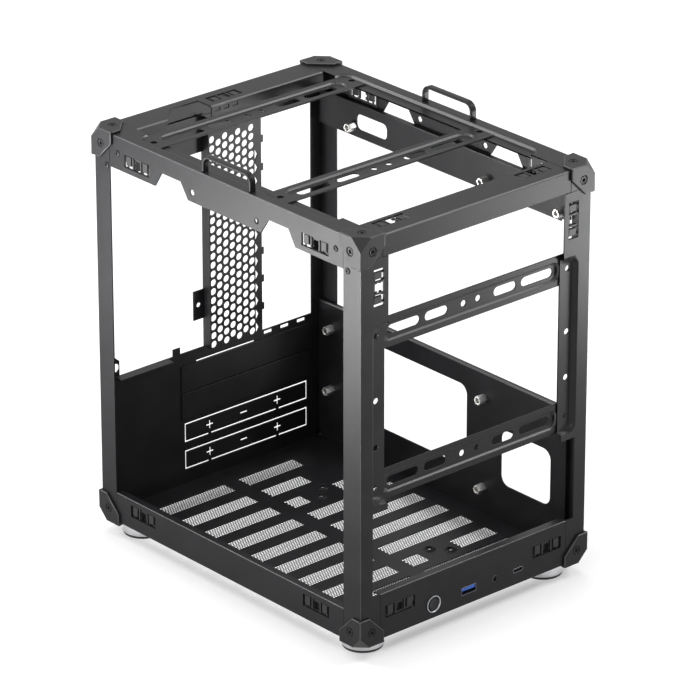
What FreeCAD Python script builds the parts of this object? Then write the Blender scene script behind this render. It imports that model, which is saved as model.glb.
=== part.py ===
import FreeCAD, Part
import math
import operator
import os
from types import SimpleNamespace

import Sketcher

# Mini-tower computer case with its panels off: an open frame of folded sheet steel.
# Millimetres; +Z up, the front (ports and power button) faces -Y, the open side faces -X.
# The origin is on the floor, under the middle of the case.

doc = FreeCAD.newDocument("MiniTowerCase")
sheet = doc.addObject("Spreadsheet::Sheet", "Sizes")

DIMENSIONS = {
    # The case as a whole, measured over the corner blocks
    "case_width": 202.0,
    "case_depth": 266.6,
    "case_height": 285.0,
    "foot_height": 9.5,
    "steel": 1.0,
    "seam": 0.2,
    # Corner blocks
    "cap_wall": 1.8,
    "cap_side": 20.7,
    "cap_corner": 8.6,
    "cap_cut": 12.3,
    "cap_gap": 0.3,
    # Posts
    "front_post_side": 16.5,
    "rear_post_side": 15.4,
    "rear_post_back": 11.5,
    "ear_reach": 4.8,
    "ear_low": 98.7,
    "ear_shoulder": 109.2,
    "ear_high": 113.3,
    "ear_hole": 6.2,
    "ear_hole_rise": 104.7,
    "ear_hole_inset": 1.3,
    "post_face": 23.2,
    "post_waist": 10.5,
    "post_hip": 17.0,
    "pad_recess": 3.7,
    "pad_edge": 10.3,
    "pad_slope": 2.4,
    "pad_drop": 61.2,
    "pad_margin": 8.4,
    "pad_foot": 5.0,
    "pad_margin_low": 10.6,
    "fan_spacing": 105.0,
    "pad_hole_inset": 16.2,
    "pad_hole": 4.4,
    "pad_hole_second": 44.5,
    "pad_hole_third": 77.0,
    # Top rails
    "rail_flange": 18.0,
    "rail_strip": 8.2,
    "rail_step": 2.2,
    "rail_step_run": 0.9,
    "rail_recess_inset": 38.0,
    "rail_recess_rear_inset": 33.5,
    "rail_tab_height": 23.0,
    "rail_notch_height": 12.2,
    "rail_tab_length": 62.2,
    "rail_notch_start": 68.9,
    "rail_notch_end": 87.9,
    "rail_drop_start": 95.3,
    "rail_hole_inset": 99.5,
    "rail_hole_depth": 16.5,
    "rail_hole": 4.0,
    "cross_rail_face": 15.0,
    "cross_rail_flange": 22.0,
    "rear_notch_outer": -55.0,
    "rear_notch_left": -41.0,
    "rear_notch_right": -17.5,
    "rear_notch_depth": 14.0,
    "rear_lip": 9.0,
    "rear_lip_slot": 4.0,
    "rear_lip_slot_rise": 2.4,
    "rear_lip_slot_first": -12.0,
    "rear_lip_slot_pitch": 7.6,
    # Spring clips and their windows
    "clip_length": 25.6,
    "clip_width": 8.6,
    "clip_rim": 1.6,
    "clip_plate": 0.8,
    "clip_leaf": 6.6,
    "clip_leaf_gap": 0.5,
    "clip_leaf_sink": 0.2,
    "side_clip_inset": 43.4,
    "side_clip_drop": 14.9,
    "wall_clip_rise": 13.5,
    "front_clip_end": 20.2,
    "front_clip_inset": 14.8,
    "rear_clip_offset": 1.5,
    "rear_clip_inset": 12.0,
    "front_wall_clip_end": 17.2,
    "front_wall_clip_rise": 18.4,
    "post_clip_inset": 15.2,
    "post_clip_drop": 34.9,
    # Fan brackets
    "bracket_width": 21.5,
    "bracket_end_gap": 1.0,
    "bracket_long_inner": 44.0,
    "bracket_long_outer": 71.5,
    "bracket_short_inner": 20.0,
    "bracket_short_outer": 39.4,
    "bracket_slot": 6.6,
    "bracket_hole_offset": 6.3,
    "bracket_hole": 4.4,
    "bracket_screw_inset": 13.3,
    "top_bracket_rear_inset": 45.2,
    "top_fan_spacing": 126.0,
    # Strap loops
    "loop_bar_width": 4.7,
    "loop_bar": 2.0,
    "loop_half_span": 24.2,
    "loop_rise": 12.1,
    "loop_bend": 6.5,
    "loop_inset": 4.0,
    # Floor pan
    "wall_rise": 21.9,
    "wall_hem": 4.5,
    "front_wall_rise": 32.5,
    "front_wall_hem": 6.0,
    "field_rear_inset": 18.6,
    "field_pitch": 23.9,
    "field_depth": 14.0,
    "field_web": 1.7,
    "field_outer": 80.8,
    "field_left_inner": 8.0,
    "field_right_inner": 3.6,
    "field_first_end": 54.0,
    "field_second_end": 40.4,
    "field_split_low": 19.2,
    "field_split_high": 47.0,
    "rim_hole": 4.6,
    "rim_near_x": 29.0,
    "rim_far_x": 39.0,
    "rim_step": 5.0,
    # Rear panel
    "psu_right": -9.0,
    "psu_sill": 98.5,
    "psu_flange": 8.0,
    "psu_tab_reach": 8.8,
    "psu_tab_low": 119.6,
    "psu_tab_high": 140.8,
    "psu_tab_hole": 3.4,
    "hook_left": -36.4,
    "hook_right": -30.1,
    "hook_rise": 5.0,
    "port_left": 43.2,
    "port_sill": 95.3,
    "port_drop": 28.2,
    "port_tooth": 1.8,
    "port_tooth_width": 5.0,
    "port_tooth_pitch": 20.5,
    "vent_left": 1.2,
    "vent_low": 98.6,
    "vent_column": 8.5,
    "vent_row": 9.8,
    "vent_hole": 8.4,
    "slot_left": -26.4,
    "slot_right_inset": 16.4,
    "slot_pitch": 20.32,
    "slot_height": 13.0,
    "slot_first_rise": 18.4,
    "slot_slit": 1.2,
    "slot_bridge": 2.2,
    "mark_arm": 6.4,
    "mark_first": -4.7,
    "mark_pitch": 30.5,
    "cover_height": 19.4,
    "cover_margin": 3.4,
    "sill_slit_first": 48.2,
    "sill_slit_pitch": 15.0,
    "sill_slit_length": 7.4,
    "sill_slit_height": 2.4,
    "sill_slit_drop": 2.4,
    "long_slit_left": -16.1,
    "long_slit_right": 35.8,
    "long_slit_rise": 89.6,
    # Board tray and standoffs
    "tray_inset": 4.7,
    "tray_top_drop": 21.2,
    "tray_strip": 24.2,
    "tray_strip_inset": 22.4,
    "tray_lower_margin": 18.7,
    "tray_lower_front": 16.6,
    "tray_lip_gap": 0.2,
    "window_rear_inset": 40.4,
    "window_length": 30.5,
    "window_low_rise": 5.9,
    "window_height": 11.3,
    "window_corner": 4.0,
    "opening_low": 28.4,
    "opening_front": -20.8,
    "opening_rear": 80.0,
    "opening_margin": 3.3,
    "opening_corner": 7.0,
    "cutout_front_inset": 28.6,
    "cutout_length": 47.7,
    "cutout_margin": 16.7,
    "board_top_drop": 38.2,
    "board_height": 157.48,
    "board_depth": 154.94,
    "board_rear_inset": 14.5,
    "board_port_offset": 22.86,
    "board_port_step": 45.72,
    "board_front_inset": 21.1,
    "board_bottom_rise": 19.7,
    "standoff_length": 6.5,
    "standoff_across": 5.6,
    "standoff_bore": 2.9,
    # Front ports and power button, heights measured from the underside of the floor pan
    "port_rise": 10.4,
    "port_fit": 0.15,
    "shell_wall": 0.4,
    "button_x": -36.1,
    "bezel_diameter": 12.0,
    "bezel_proud": 1.0,
    "bezel_bore": 8.7,
    "button_diameter": 8.1,
    "button_proud": 0.7,
    "button_length": 4.6,
    "button_travel": 1.2,
    "button_clearance": 0.4,
    "switch_across": 12.0,
    "switch_length": 15.0,
    "usb_a_x": -4.7,
    "usb_a_width": 13.1,
    "usb_a_height": 5.7,
    "usb_a_length": 14.0,
    "usb_a_tongue": 1.9,
    "usb_a_tongue_side": 0.4,
    "audio_x": 18.4,
    "audio_barrel": 5.6,
    "audio_bore": 3.6,
    "audio_length": 11.0,
    "usb_c_x": 39.2,
    "usb_c_width": 9.0,
    "usb_c_height": 3.3,
    "usb_c_length": 8.0,
    "usb_c_tongue": 0.7,
    "usb_c_tongue_side": 1.2,
    "io_board_margin": 4.0,
    "io_board_depth": 17.0,
    "io_board_thickness": 1.6,
    # Feet
    "foot_x_inset": 21.0,
    "foot_y_inset": 21.3,
    "foot_diameter": 28.0,
    "foot_pad_diameter": 27.0,
    "foot_pad_proud": 1.6,
}

VENT_COLUMNS = (3, 2)
VENT_ROWS = 15
FIELD_ROWS = 9
SLOTS_IN_FIELD = 2
EXPANSION_SLOTS = 4
SILL_SLITS = 3
LIP_SLOTS = 3
BEZEL_SIDES = 24
LEFT, RIGHT = -1, 1
FRONT, REAR = -1, 1
BOTTOM, TOP = -1, 1


class Size:
    """A length: its number now, and the sheet formula that keeps it up to date."""

    def __init__(self, number, formula):
        self.number = number
        self.formula = formula

    def __add__(self, other):
        return combine(operator.add, self, "+", other)

    def __radd__(self, other):
        return combine(operator.add, other, "+", self)

    def __sub__(self, other):
        return combine(operator.sub, self, "-", other)

    def __rsub__(self, other):
        return combine(operator.sub, other, "-", self)

    def __mul__(self, other):
        return combine(operator.mul, self, "*", other)

    __rmul__ = __mul__

    def __truediv__(self, other):
        return combine(operator.truediv, self, "/", other)

    def __neg__(self):
        return self * -1


def as_size(value):
    return value if isinstance(value, Size) else Size(float(value), repr(float(value)))


def combine(work, left, sign, right):
    left, right = as_size(left), as_size(right)
    return Size(work(left.number, right.number), f"({left.formula} {sign} {right.formula})")


for line, (name, number) in enumerate(DIMENSIONS.items(), start=1):
    sheet.set(f"A{line}", name)
    sheet.set(f"B{line}", str(number))
    sheet.setAlias(f"B{line}", name)
doc.recompute()
d = SimpleNamespace(**{name: Size(value, f"Sizes.{name}") for name, value in DIMENSIONS.items()})


# Outlines: lists of corners (x, y) or (x, y, radius); a rounded corner joins two square edges


def rectangle(x_low, x_high, y_low, y_high, corner=None):
    places = [(x_low, y_low), (x_high, y_low), (x_high, y_high), (x_low, y_high)]
    return [(x, y, corner) if corner else (x, y) for x, y in places]


def block(x, y, width, height):
    """A rectangle given by its middle."""
    return rectangle(x - width / 2, x + width / 2, y - height / 2, y + height / 2)


def oblong(x_low, x_high, y, height):
    """A slot whose ends are cut off at the corners."""
    cut = height * 0.3
    low, high = y - height / 2, y + height / 2
    return [
        (x_low + cut, low), (x_high - cut, low), (x_high, low + cut), (x_high, high - cut),
        (x_high - cut, high), (x_low + cut, high), (x_low, high - cut), (x_low, low + cut),
    ]


def polygon(x, y, across, sides):
    """Equal sides, with one corner level with the middle; across is from flat to flat."""
    reach = across / (2 * math.cos(math.pi / sides))
    turns = [2 * math.pi * k / sides for k in range(sides)]
    return [(x + reach * math.cos(a), y + reach * math.sin(a)) for a in turns]


def hexagon(x, y, across):
    return polygon(x, y, across, 6)


def octagon(x, y, across):
    """A round hole or barrel with eight flats."""
    return oblong(x - across / 2, x + across / 2, y, across)


def plus_sign(x, y, arm, width):
    a, b = arm / 2, width / 2
    quarter = [(a, -b), (a, b), (b, b), (b, a), (-b, a), (-b, b)]
    return [(x + u, y + v) for u, v in quarter] + [(x - u, y - v) for u, v in quarter]


def circle(x, y, diameter):
    return SimpleNamespace(x=x, y=y, radius=diameter / 2)


def span(side, near, far):
    """The low and high limits of a stretch that lies on one side of the middle."""
    return (near, far) if side > 0 else (-far, -near)


def mirrored(side, outline):
    return [(side * corner[0], *corner[1:]) for corner in outline]


def point(place):
    return FreeCAD.Vector(place[0].number, place[1].number, 0)


def heading(start, end):
    """Unit step along a square edge."""
    across, along = end[0].number - start[0].number, end[1].number - start[1].number
    if abs(across) > abs(along):
        return (math.copysign(1, across), 0)
    return (0, math.copysign(1, along))


class Piece:
    """One sub-part: a body whose sketches and lengths are bound to the sheet."""

    ROLES = {"XY": "XY_Plane", "XZ": "XZ_Plane", "YZ": "YZ_Plane"}
    NORMALS = {"XY": 1, "XZ": -1, "YZ": 1}

    def __init__(self, label):
        self.label = label
        self.body = doc.addObject("PartDesign::Body", label)
        self.body.Label = label

    def origin(self, role):
        return next(item for item in self.body.Origin.OriginFeatures if item.Role == role)

    def sketch(self, plane, outlines, level):
        drawing = self.body.newObject("Sketcher::SketchObject", f"{self.label}_sketch")
        drawing.AttachmentSupport = [(self.origin(self.ROLES[plane]), "")]
        drawing.MapMode = "FlatFace"
        drawing.setExpression("AttachmentOffset.Base.z", (level * self.NORMALS[plane]).formula)
        pending = []
        for outline in outlines:
            if isinstance(outline, SimpleNamespace):
                draw_circle(drawing, pending, outline)
            else:
                draw_outline(drawing, pending, outline)
        settle(drawing, pending)
        return drawing

    def extrude(self, kind, plane, outlines, low, high):
        low, high = as_size(low), as_size(high)
        feature = self.body.newObject(f"PartDesign::{kind}", f"{self.label}_{kind.lower()}")
        feature.Profile = self.sketch(plane, outlines, (low + high) / 2)
        feature.SideType = "Symmetric"
        feature.setExpression("Length", (high - low).formula)
        self.body.Tip = feature
        return feature

    def pad(self, plane, outlines, low, high):
        return self.extrude("Pad", plane, outlines, low, high)

    def cut(self, plane, outlines, low, high):
        return self.extrude("Pocket", plane, outlines, low, high)

    def repeat(self, feature, axis, pitch, count, second_axis=None, second_pitch=None, second_count=1):
        """A row of copies of one feature, or a grid where a second axis is given."""
        pattern = self.body.newObject("PartDesign::LinearPattern", f"{self.label}_pattern")
        pattern.Originals = [feature]
        pattern.Direction = (self.origin(axis), [""])
        pattern.Mode = "Spacing"
        pattern.setExpression("Offset", pitch.formula)
        pattern.Occurrences = count
        if second_axis:
            pattern.Direction2 = (self.origin(second_axis), [""])
            pattern.Mode2 = "Spacing"
            pattern.setExpression("Offset2", second_pitch.formula)
            pattern.Occurrences2 = second_count
        self.body.Tip = pattern
        return pattern


def bind(pending, kind, *place, size):
    """Note one dimension of a sketch with the formula that it follows."""
    pending.append((Sketcher.Constraint(kind, *place, size.number), size.formula))


def meet(pending, *ends):
    """Note that two ends coincide."""
    pending.append((Sketcher.Constraint("Coincident", *ends), None))


def settle(drawing, pending):
    """Give a sketch all its noted rules at once, and tie each dimension to the sheet."""
    indices = drawing.addConstraint([rule for rule, _ in pending])
    for index, (_, formula) in zip(indices, pending):
        if formula:
            drawing.setExpression(f"Constraints[{index}]", formula)


def draw_circle(drawing, pending, outline):
    centre = point((outline.x, outline.y))
    ring = drawing.addGeometry(Part.Circle(centre, FreeCAD.Vector(0, 0, 1), outline.radius.number), False)
    bind(pending, "DistanceX", ring, 3, size=outline.x)
    bind(pending, "DistanceY", ring, 3, size=outline.y)
    bind(pending, "Radius", ring, size=outline.radius)


def corner_ends(corners):
    """Where each corner's arc starts and ends, with its centre and radius; a sharp corner has none."""
    ends = []
    for before, corner, after in zip(corners[-1:] + corners[:-1], corners, corners[1:] + corners[:1]):
        if len(corner) == 2:
            ends.append((corner, corner, None))
            continue
        radius = corner[2]
        back, on = heading(corner, before), heading(corner, after)
        enter = (corner[0] + radius * back[0], corner[1] + radius * back[1])
        leave = (corner[0] + radius * on[0], corner[1] + radius * on[1])
        centre = (enter[0] + radius * on[0], enter[1] + radius * on[1])
        ends.append((enter, leave, (centre, radius)))
    return ends


def draw_lines(drawing, ends):
    """Straight runs from where one corner is left to where the next is entered."""
    pairs = zip(ends, ends[1:])
    runs = [Part.LineSegment(point(start), point(end)) for (_, start, _), (end, _, _) in pairs]
    return list(drawing.addGeometry(runs, False))


def draw_outline(drawing, pending, outline):
    """A closed run of lines, with an arc at each corner that has a radius."""
    ends = corner_ends([(as_size(c[0]), as_size(c[1]), *c[2:]) for c in outline])
    lines = draw_lines(drawing, ends + ends[:1])
    for index, (enter, leave, arc) in enumerate(ends):
        incoming, outgoing = lines[index - 1], lines[index]
        bind(pending, "DistanceX", outgoing, 1, size=leave[0])
        bind(pending, "DistanceY", outgoing, 1, size=leave[1])
        if arc is None:
            meet(pending, incoming, 2, outgoing, 1)
            continue
        bind(pending, "DistanceX", incoming, 2, size=enter[0])
        bind(pending, "DistanceY", incoming, 2, size=enter[1])
        draw_arc(drawing, pending, enter, leave, arc, incoming, outgoing)


def draw_arc(drawing, pending, enter, leave, arc, incoming, outgoing):
    centre, radius = arc
    middle = point(centre)
    first, last = point(enter) - middle, point(leave) - middle
    left_turn = first.cross(last).z > 0
    begin, finish = (first, last) if left_turn else (last, first)
    ring = Part.Circle(middle, FreeCAD.Vector(0, 0, 1), radius.number)
    angles = [math.atan2(ray.y, ray.x) for ray in (begin, finish)]
    bend = drawing.addGeometry(Part.ArcOfCircle(ring, angles[0], angles[1]), False)
    enter_end, leave_end = (1, 2) if left_turn else (2, 1)
    meet(pending, incoming, 2, bend, enter_end)
    meet(pending, bend, leave_end, outgoing, 1)
    bind(pending, "Radius", bend, size=radius)


# Planes of the frame, worked out from the driving sizes

base = d.foot_height
block_x, block_y = d.case_width / 2, d.case_depth / 2
block_top = base + d.case_height
frame_x, frame_y = block_x - d.cap_wall, block_y - d.cap_wall
inner_x, inner_y = frame_x - d.steel, frame_y - d.steel
frame_low, frame_top = base + d.cap_wall, block_top - d.cap_wall
floor_top = frame_low + d.steel
relief = d.cap_corner - d.cap_wall + d.cap_gap
cross_rail_low = frame_top - d.cross_rail_face
post_face_top = cross_rail_low - d.seam
pieces = []


def piece(label):
    made = Piece(label)
    pieces.append(made)
    return made


# Corner blocks: three plates that meet in a flat, cut-off corner


def corner_block(label, side, end, level):
    """A cube with its outer corner cut off, hollowed from inside, then each plate's inner corner cut."""
    part = piece(label)
    z_corner = block_top if level > 0 else base
    size, wall, cut = d.cap_side, d.cap_wall, d.cap_cut

    def depth(near, far):
        ends = (z_corner - level * near, z_corner - level * far)
        return ends if level < 0 else (ends[1], ends[0])

    x_outer, y_outer = span(side, block_x - size, block_x), span(end, block_y - size, block_y)
    part.pad("XY", [rectangle(*x_outer, *y_outer)], *depth(0, size))
    facet = part.body.newObject("Sketcher::SketchObject", f"{label}_facet")
    corner = (side * block_x, end * block_y, z_corner)
    inward = (side, end, level)
    facet.Placement.Rotation = FreeCAD.Rotation(FreeCAD.Vector(0, 0, 1), FreeCAD.Vector(*inward))
    for axis, place, sign in zip("xyz", corner, inward):
        facet.setExpression(f"Placement.Base.{axis}", (place - sign * d.cap_corner / 3).formula)
    rules = []
    draw_outline(facet, rules, rectangle(-size, size, -size, size))
    settle(facet, rules)
    trim = part.body.newObject("PartDesign::Pocket", f"{label}_trim")
    trim.Profile = facet
    trim.Reversed = True
    trim.setExpression("Length", size.formula)
    doc.recompute()
    inside = [(side * (block_x - size)).number, (end * (block_y - size)).number,
              (z_corner - level * size).number]
    names = []
    for index, face in enumerate(trim.Shape.Faces, start=1):
        middle = face.CenterOfMass
        if any(abs(value - limit) < 1e-6 for value, limit in zip(middle, inside)):
            names.append(f"Face{index}")
    shell = part.body.newObject("PartDesign::Thickness", f"{label}_shell")
    shell.Base = (trim, names)
    shell.setExpression("Value", wall.formula)
    shell.Mode = "Skin"
    shell.Join = "Intersection"
    shell.Reversed = True
    part.body.Tip = shell
    # Each plate loses a triangle at its inner corner
    x_near, x_far = side * (block_x - size + cut), side * (block_x - size)
    y_near, y_far = end * (block_y - size + cut), end * (block_y - size)
    z_near, z_far = z_corner - level * (size - cut), z_corner - level * size
    part.cut("XY", [[(x_near, y_far), (x_far, y_far), (x_far, y_near)]], *depth(-wall, 2 * wall))
    part.cut("XZ", [[(x_near, z_far), (x_far, z_far), (x_far, z_near)]],
             *span(end, block_y - 2 * wall, block_y + wall))
    part.cut("YZ", [[(y_near, z_far), (y_far, z_far), (y_far, z_near)]],
             *span(side, block_x - 2 * wall, block_x + wall))


for level, level_name in ((TOP, "top"), (BOTTOM, "bottom")):
    for end, end_name in ((FRONT, "front"), (REAR, "rear")):
        for side, side_name in ((LEFT, "left"), (RIGHT, "right")):
            corner_block(f"corner_block_{level_name}_{end_name}_{side_name}", side, end, level)


# Posts: folded angles; the front pair has a face flange with a recessed pad for the fan brackets

pad_top = frame_top - d.pad_drop
bracket_high = pad_top - d.pad_margin
bracket_low = bracket_high - d.fan_spacing
pad_bottom = bracket_low - d.pad_margin_low
front_wall_top = frame_low + d.front_wall_rise


def corner_relief(part, side, end):
    """Clear the flat inner corner of the blocks at both ends of a post."""
    patch = rectangle(*span(side, frame_x - relief, block_x), *span(end, frame_y - relief, block_y))
    part.cut("XY", [patch], frame_top - relief, block_top)
    part.cut("XY", [patch], base, frame_low + relief)


def front_post(label, side):
    part = piece(label)
    face = (-frame_y, -inner_y)
    x_face = frame_x - d.post_face
    part.pad("XY", [rectangle(*span(side, inner_x, frame_x), -frame_y, -frame_y + d.front_post_side)],
             floor_top, frame_top - d.steel)
    part.pad("XZ", [rectangle(*span(side, x_face, frame_x), pad_top, post_face_top)], *face)
    edge, floor_x = frame_x - d.pad_edge, frame_x - d.pad_edge - d.pad_slope
    sunk = -frame_y + d.pad_recess
    fold = [(frame_x, -frame_y), (frame_x, -inner_y), (edge + d.steel / 2, -inner_y),
            (floor_x + d.steel / 2, sunk + d.steel), (x_face, sunk + d.steel), (x_face, sunk),
            (floor_x, sunk), (edge, -frame_y)]
    part.pad("XY", [mirrored(side, fold)], pad_bottom, pad_top)
    lid = [(x_face, -frame_y), (edge, -frame_y), (edge, -inner_y), (floor_x, sunk + d.steel),
           (x_face, sunk + d.steel)]
    part.pad("XY", [mirrored(side, lid)], pad_top, pad_top + d.steel)
    part.pad("XY", [mirrored(side, lid)], pad_bottom - d.steel, pad_bottom)
    waist, hip = frame_x - d.post_waist, frame_x - d.post_hip
    shoulder = pad_bottom - d.pad_foot
    lower = [(frame_x, floor_top), (frame_x, pad_bottom), (x_face, pad_bottom), (x_face, shoulder),
             (waist, shoulder), (waist, front_wall_top), (hip, front_wall_top), (hip, floor_top)]
    part.pad("XZ", [mirrored(side, lower)], *face)
    heights = [bracket_high, bracket_high - d.pad_hole_second, bracket_high - d.pad_hole_third, bracket_low]
    holes = [octagon(side * (frame_x - d.pad_hole_inset), z, d.pad_hole) for z in heights]
    part.cut("XZ", holes, sunk - d.steel, sunk + 2 * d.steel)
    window = block(side * (frame_x - d.post_clip_inset), frame_top - d.post_clip_drop,
                   d.clip_width, d.clip_length)
    part.cut("XZ", [window], -block_y, -inner_y + d.steel)
    corner_relief(part, side, FRONT)


def rear_post(label, side):
    part = piece(label)
    part.pad("XY", [rectangle(*span(side, inner_x, frame_x), frame_y - d.rear_post_side, frame_y)],
             floor_top, frame_top - d.steel)
    back = rectangle(*span(side, frame_x - d.rear_post_back, frame_x), floor_top, post_face_top)
    part.pad("XZ", [back], inner_y, frame_y)
    if side == LEFT:
        ear_root, ear_end = d.rear_post_back - d.steel, d.rear_post_back + d.ear_reach
        ear = [(ear_root, d.ear_low), (ear_end, d.ear_low), (ear_end, d.ear_shoulder),
               (d.rear_post_back, d.ear_high), (ear_root, d.ear_high)]
        part.pad("XZ", [[(inset - frame_x, frame_low + rise) for inset, rise in ear]], inner_y, frame_y)
        part.cut("XZ", [octagon(d.rear_post_back + d.ear_hole_inset - frame_x, frame_low + d.ear_hole_rise,
                                d.ear_hole)], inner_y - d.steel, block_y)
    corner_relief(part, side, REAR)


front_post("post_front_left", LEFT)
front_post("post_front_right", RIGHT)
rear_post("post_rear_left", LEFT)
rear_post("post_rear_right", RIGHT)


# Top rails: the side pair carries the loops and, on a lowered strip, the top fan brackets

rail_edge = frame_x - d.rail_flange
strip_top = frame_top - d.rail_step
recess_front, recess_rear = -frame_y + d.rail_recess_inset, frame_y - d.rail_recess_rear_inset
clip_y = frame_y - d.side_clip_inset
side_clip_z = frame_top - d.side_clip_drop


def side_rail(label, side):
    """Profiles set end to end: lowered strip in the middle, flat flange towards both corners."""
    part = piece(label)
    skirt_low, notch = frame_top - d.rail_tab_height, frame_top - d.rail_notch_height
    step = frame_x - d.rail_strip
    low = step - d.rail_step_run
    under, sunk = frame_top - d.steel, strip_top - d.steel
    skirt = [(inner_x, under), (inner_x, skirt_low), (frame_x, skirt_low), (frame_x, frame_top)]
    middle = skirt + [(step, frame_top), (low, strip_top), (rail_edge, strip_top), (rail_edge, sunk),
                      (low + d.steel / 2, sunk), (step + d.steel / 2, under)]
    part.pad("XZ", [mirrored(side, middle)], recess_front, recess_rear)
    skirt_ends = {FRONT: frame_y - d.front_post_side - d.seam, REAR: frame_y - d.rear_post_side - d.seam}
    for end, start in ((FRONT, -recess_front), (REAR, recess_rear)):
        flat = skirt + [(rail_edge, frame_top), (rail_edge, under)]
        part.pad("XZ", [mirrored(side, flat)], *span(end, start, skirt_ends[end]))
        lid = [(rail_edge, under), (step + d.steel / 2, under), (low + d.steel / 2, sunk), (rail_edge, sunk)]
        part.pad("XZ", [mirrored(side, lid)], *span(end, start, start + d.steel))
        corner = [(rail_edge, end * skirt_ends[end]), (frame_x, end * skirt_ends[end]),
                  (frame_x, end * (frame_y - relief)), (frame_x - relief, end * frame_y),
                  (rail_edge, end * frame_y)]
        part.pad("XY", [mirrored(side, corner)], under, frame_top)
        tab = [(rail_edge, cross_rail_low), (inner_x - d.seam, cross_rail_low),
               (inner_x - d.seam, frame_top - relief - d.steel), (frame_x - relief - d.steel, under),
               (rail_edge, under)]
        part.pad("XZ", [mirrored(side, tab)], *span(end, inner_y, frame_y))
        bay = [(d.rail_tab_length, skirt_low), (d.rail_notch_start, notch), (d.rail_notch_end, notch),
               (d.rail_drop_start, skirt_low)]
        bay = [(end * (frame_y - inset), z) for inset, z in bay]
        window = block(end * clip_y, side_clip_z, d.clip_length, d.clip_width)
        hole = hexagon(end * (frame_y - d.rail_hole_inset), frame_top - d.rail_hole_depth, d.rail_hole)
        part.cut("YZ", [bay, window, hole], *span(side, inner_x - d.steel, block_x))


side_rail("top_rail_left", LEFT)
side_rail("top_rail_right", RIGHT)


def cross_rail(label, end):
    part = piece(label)
    half = rail_edge - d.seam
    part.pad("XZ", [rectangle(-half, half, cross_rail_low, frame_top)], *span(end, inner_y, frame_y))
    part.pad("XY", [rectangle(-half, half, *span(end, frame_y - d.cross_rail_flange, frame_y))],
             frame_top - d.steel, frame_top)
    return part


top_rail_front = cross_rail("top_rail_front", FRONT)
top_rail_rear = cross_rail("top_rail_rear", REAR)
front_clip_x, front_clip_y = rail_edge - d.front_clip_end, -frame_y + d.front_clip_inset
rear_clip_y = frame_y - d.rear_clip_inset
flange_cut = (frame_top - 2 * d.steel, block_top)
top_rail_front.cut("XY", [block(side * front_clip_x, front_clip_y, d.clip_length, d.clip_width)
                          for side in (LEFT, RIGHT)], *flange_cut)
top_rail_rear.cut("XY", [block(d.rear_clip_offset, rear_clip_y, d.clip_length, d.clip_width)], *flange_cut)
rear_flange_edge = frame_y - d.cross_rail_flange
notch_end = rear_flange_edge + d.rear_notch_depth
notch_mouth = rear_flange_edge - d.steel
notch = [(d.rear_notch_outer, notch_mouth), (d.rear_notch_outer, rear_flange_edge),
         (d.rear_notch_left, notch_end), (d.rear_notch_right, notch_end), (d.rear_notch_right, notch_mouth)]
top_rail_rear.cut("XY", [notch], *flange_cut)
lip_y, lip_low = (rear_flange_edge, rear_flange_edge + d.steel), frame_top - d.rear_lip
rail_half = rail_edge - d.seam
top_rail_rear.pad("XZ", [rectangle(-rail_half, d.rear_notch_outer, lip_low, frame_top),
                         rectangle(d.rear_notch_right, rail_half, lip_low, frame_top)], *lip_y)
lip_slot_x = [d.rear_lip_slot_first + index * d.rear_lip_slot_pitch for index in range(LIP_SLOTS)]
lip_slot_z = frame_top - d.steel - d.rear_lip_slot_rise
top_rail_rear.cut("XZ", [block(x, lip_slot_z, d.rear_lip_slot, d.rear_lip_slot_rise) for x in lip_slot_x],
                  rear_flange_edge - d.steel, rear_flange_edge + 2 * d.steel)


# Floor pan: floor with perforated fields, side walls with hems, front wall with the ports

wall_top = frame_low + d.wall_rise
tray_x = frame_x - d.tray_inset
port_z = frame_low + d.port_rise
wall_clip_z = frame_low + d.wall_clip_rise
front_wall_clip_z = frame_low + d.front_wall_clip_rise
hip_x = frame_x - d.post_hip
wall_clip_x = hip_x - d.front_wall_clip_end

floor = piece("floor_pan")
plate = [(frame_x - relief, -frame_y), (frame_x, -frame_y + relief), (frame_x, frame_y - relief),
         (frame_x - relief, frame_y)]
floor.pad("XY", [plate + mirrored(LEFT, plate)[::-1]], frame_low, floor_top)
wall_ends = (-frame_y + d.front_post_side + d.seam, frame_y - d.rear_post_side - d.seam)
for side in (LEFT, RIGHT):
    hem = d.wall_hem if side == LEFT else d.tray_inset - 2 * d.steel - d.cap_gap
    floor.pad("YZ", [rectangle(*wall_ends, frame_low, wall_top)], *span(side, inner_x, frame_x))
    folded = rectangle(*span(side, inner_x - hem, frame_x), *wall_ends)
    floor.pad("XY", [folded], wall_top - d.steel, wall_top)
front_end = hip_x - d.seam
floor.pad("XZ", [rectangle(-front_end, front_end, frame_low, front_wall_top)], -frame_y, -inner_y)
floor.pad("XY", [rectangle(-front_end, front_end, -frame_y, -inner_y + d.front_wall_hem)],
          front_wall_top - d.steel, front_wall_top)
for side in (LEFT, RIGHT):
    windows = [block(end * clip_y, wall_clip_z, d.clip_length, d.clip_width) for end in (FRONT, REAR)]
    floor.cut("YZ", windows, *span(side, inner_x - d.steel / 2, block_x))
front_windows = [block(side * wall_clip_x, front_wall_clip_z, d.clip_length, d.clip_width)
                 for side in (LEFT, RIGHT)]
sockets = [block(d.usb_a_x, port_z, d.usb_a_width + 2 * d.port_fit, d.usb_a_height + 2 * d.port_fit),
           oblong(d.usb_c_x - d.usb_c_width / 2 - d.port_fit, d.usb_c_x + d.usb_c_width / 2 + d.port_fit,
                  port_z, d.usb_c_height + 2 * d.port_fit),
           octagon(d.audio_x, port_z, d.audio_barrel + 2 * d.port_fit),
           circle(d.button_x, port_z, d.bezel_bore)]
floor.cut("XZ", front_windows + sockets, -block_y, -inner_y + d.steel)

slot_depth = (d.field_depth - (SLOTS_IN_FIELD - 1) * d.field_web) / SLOTS_IN_FIELD


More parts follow.
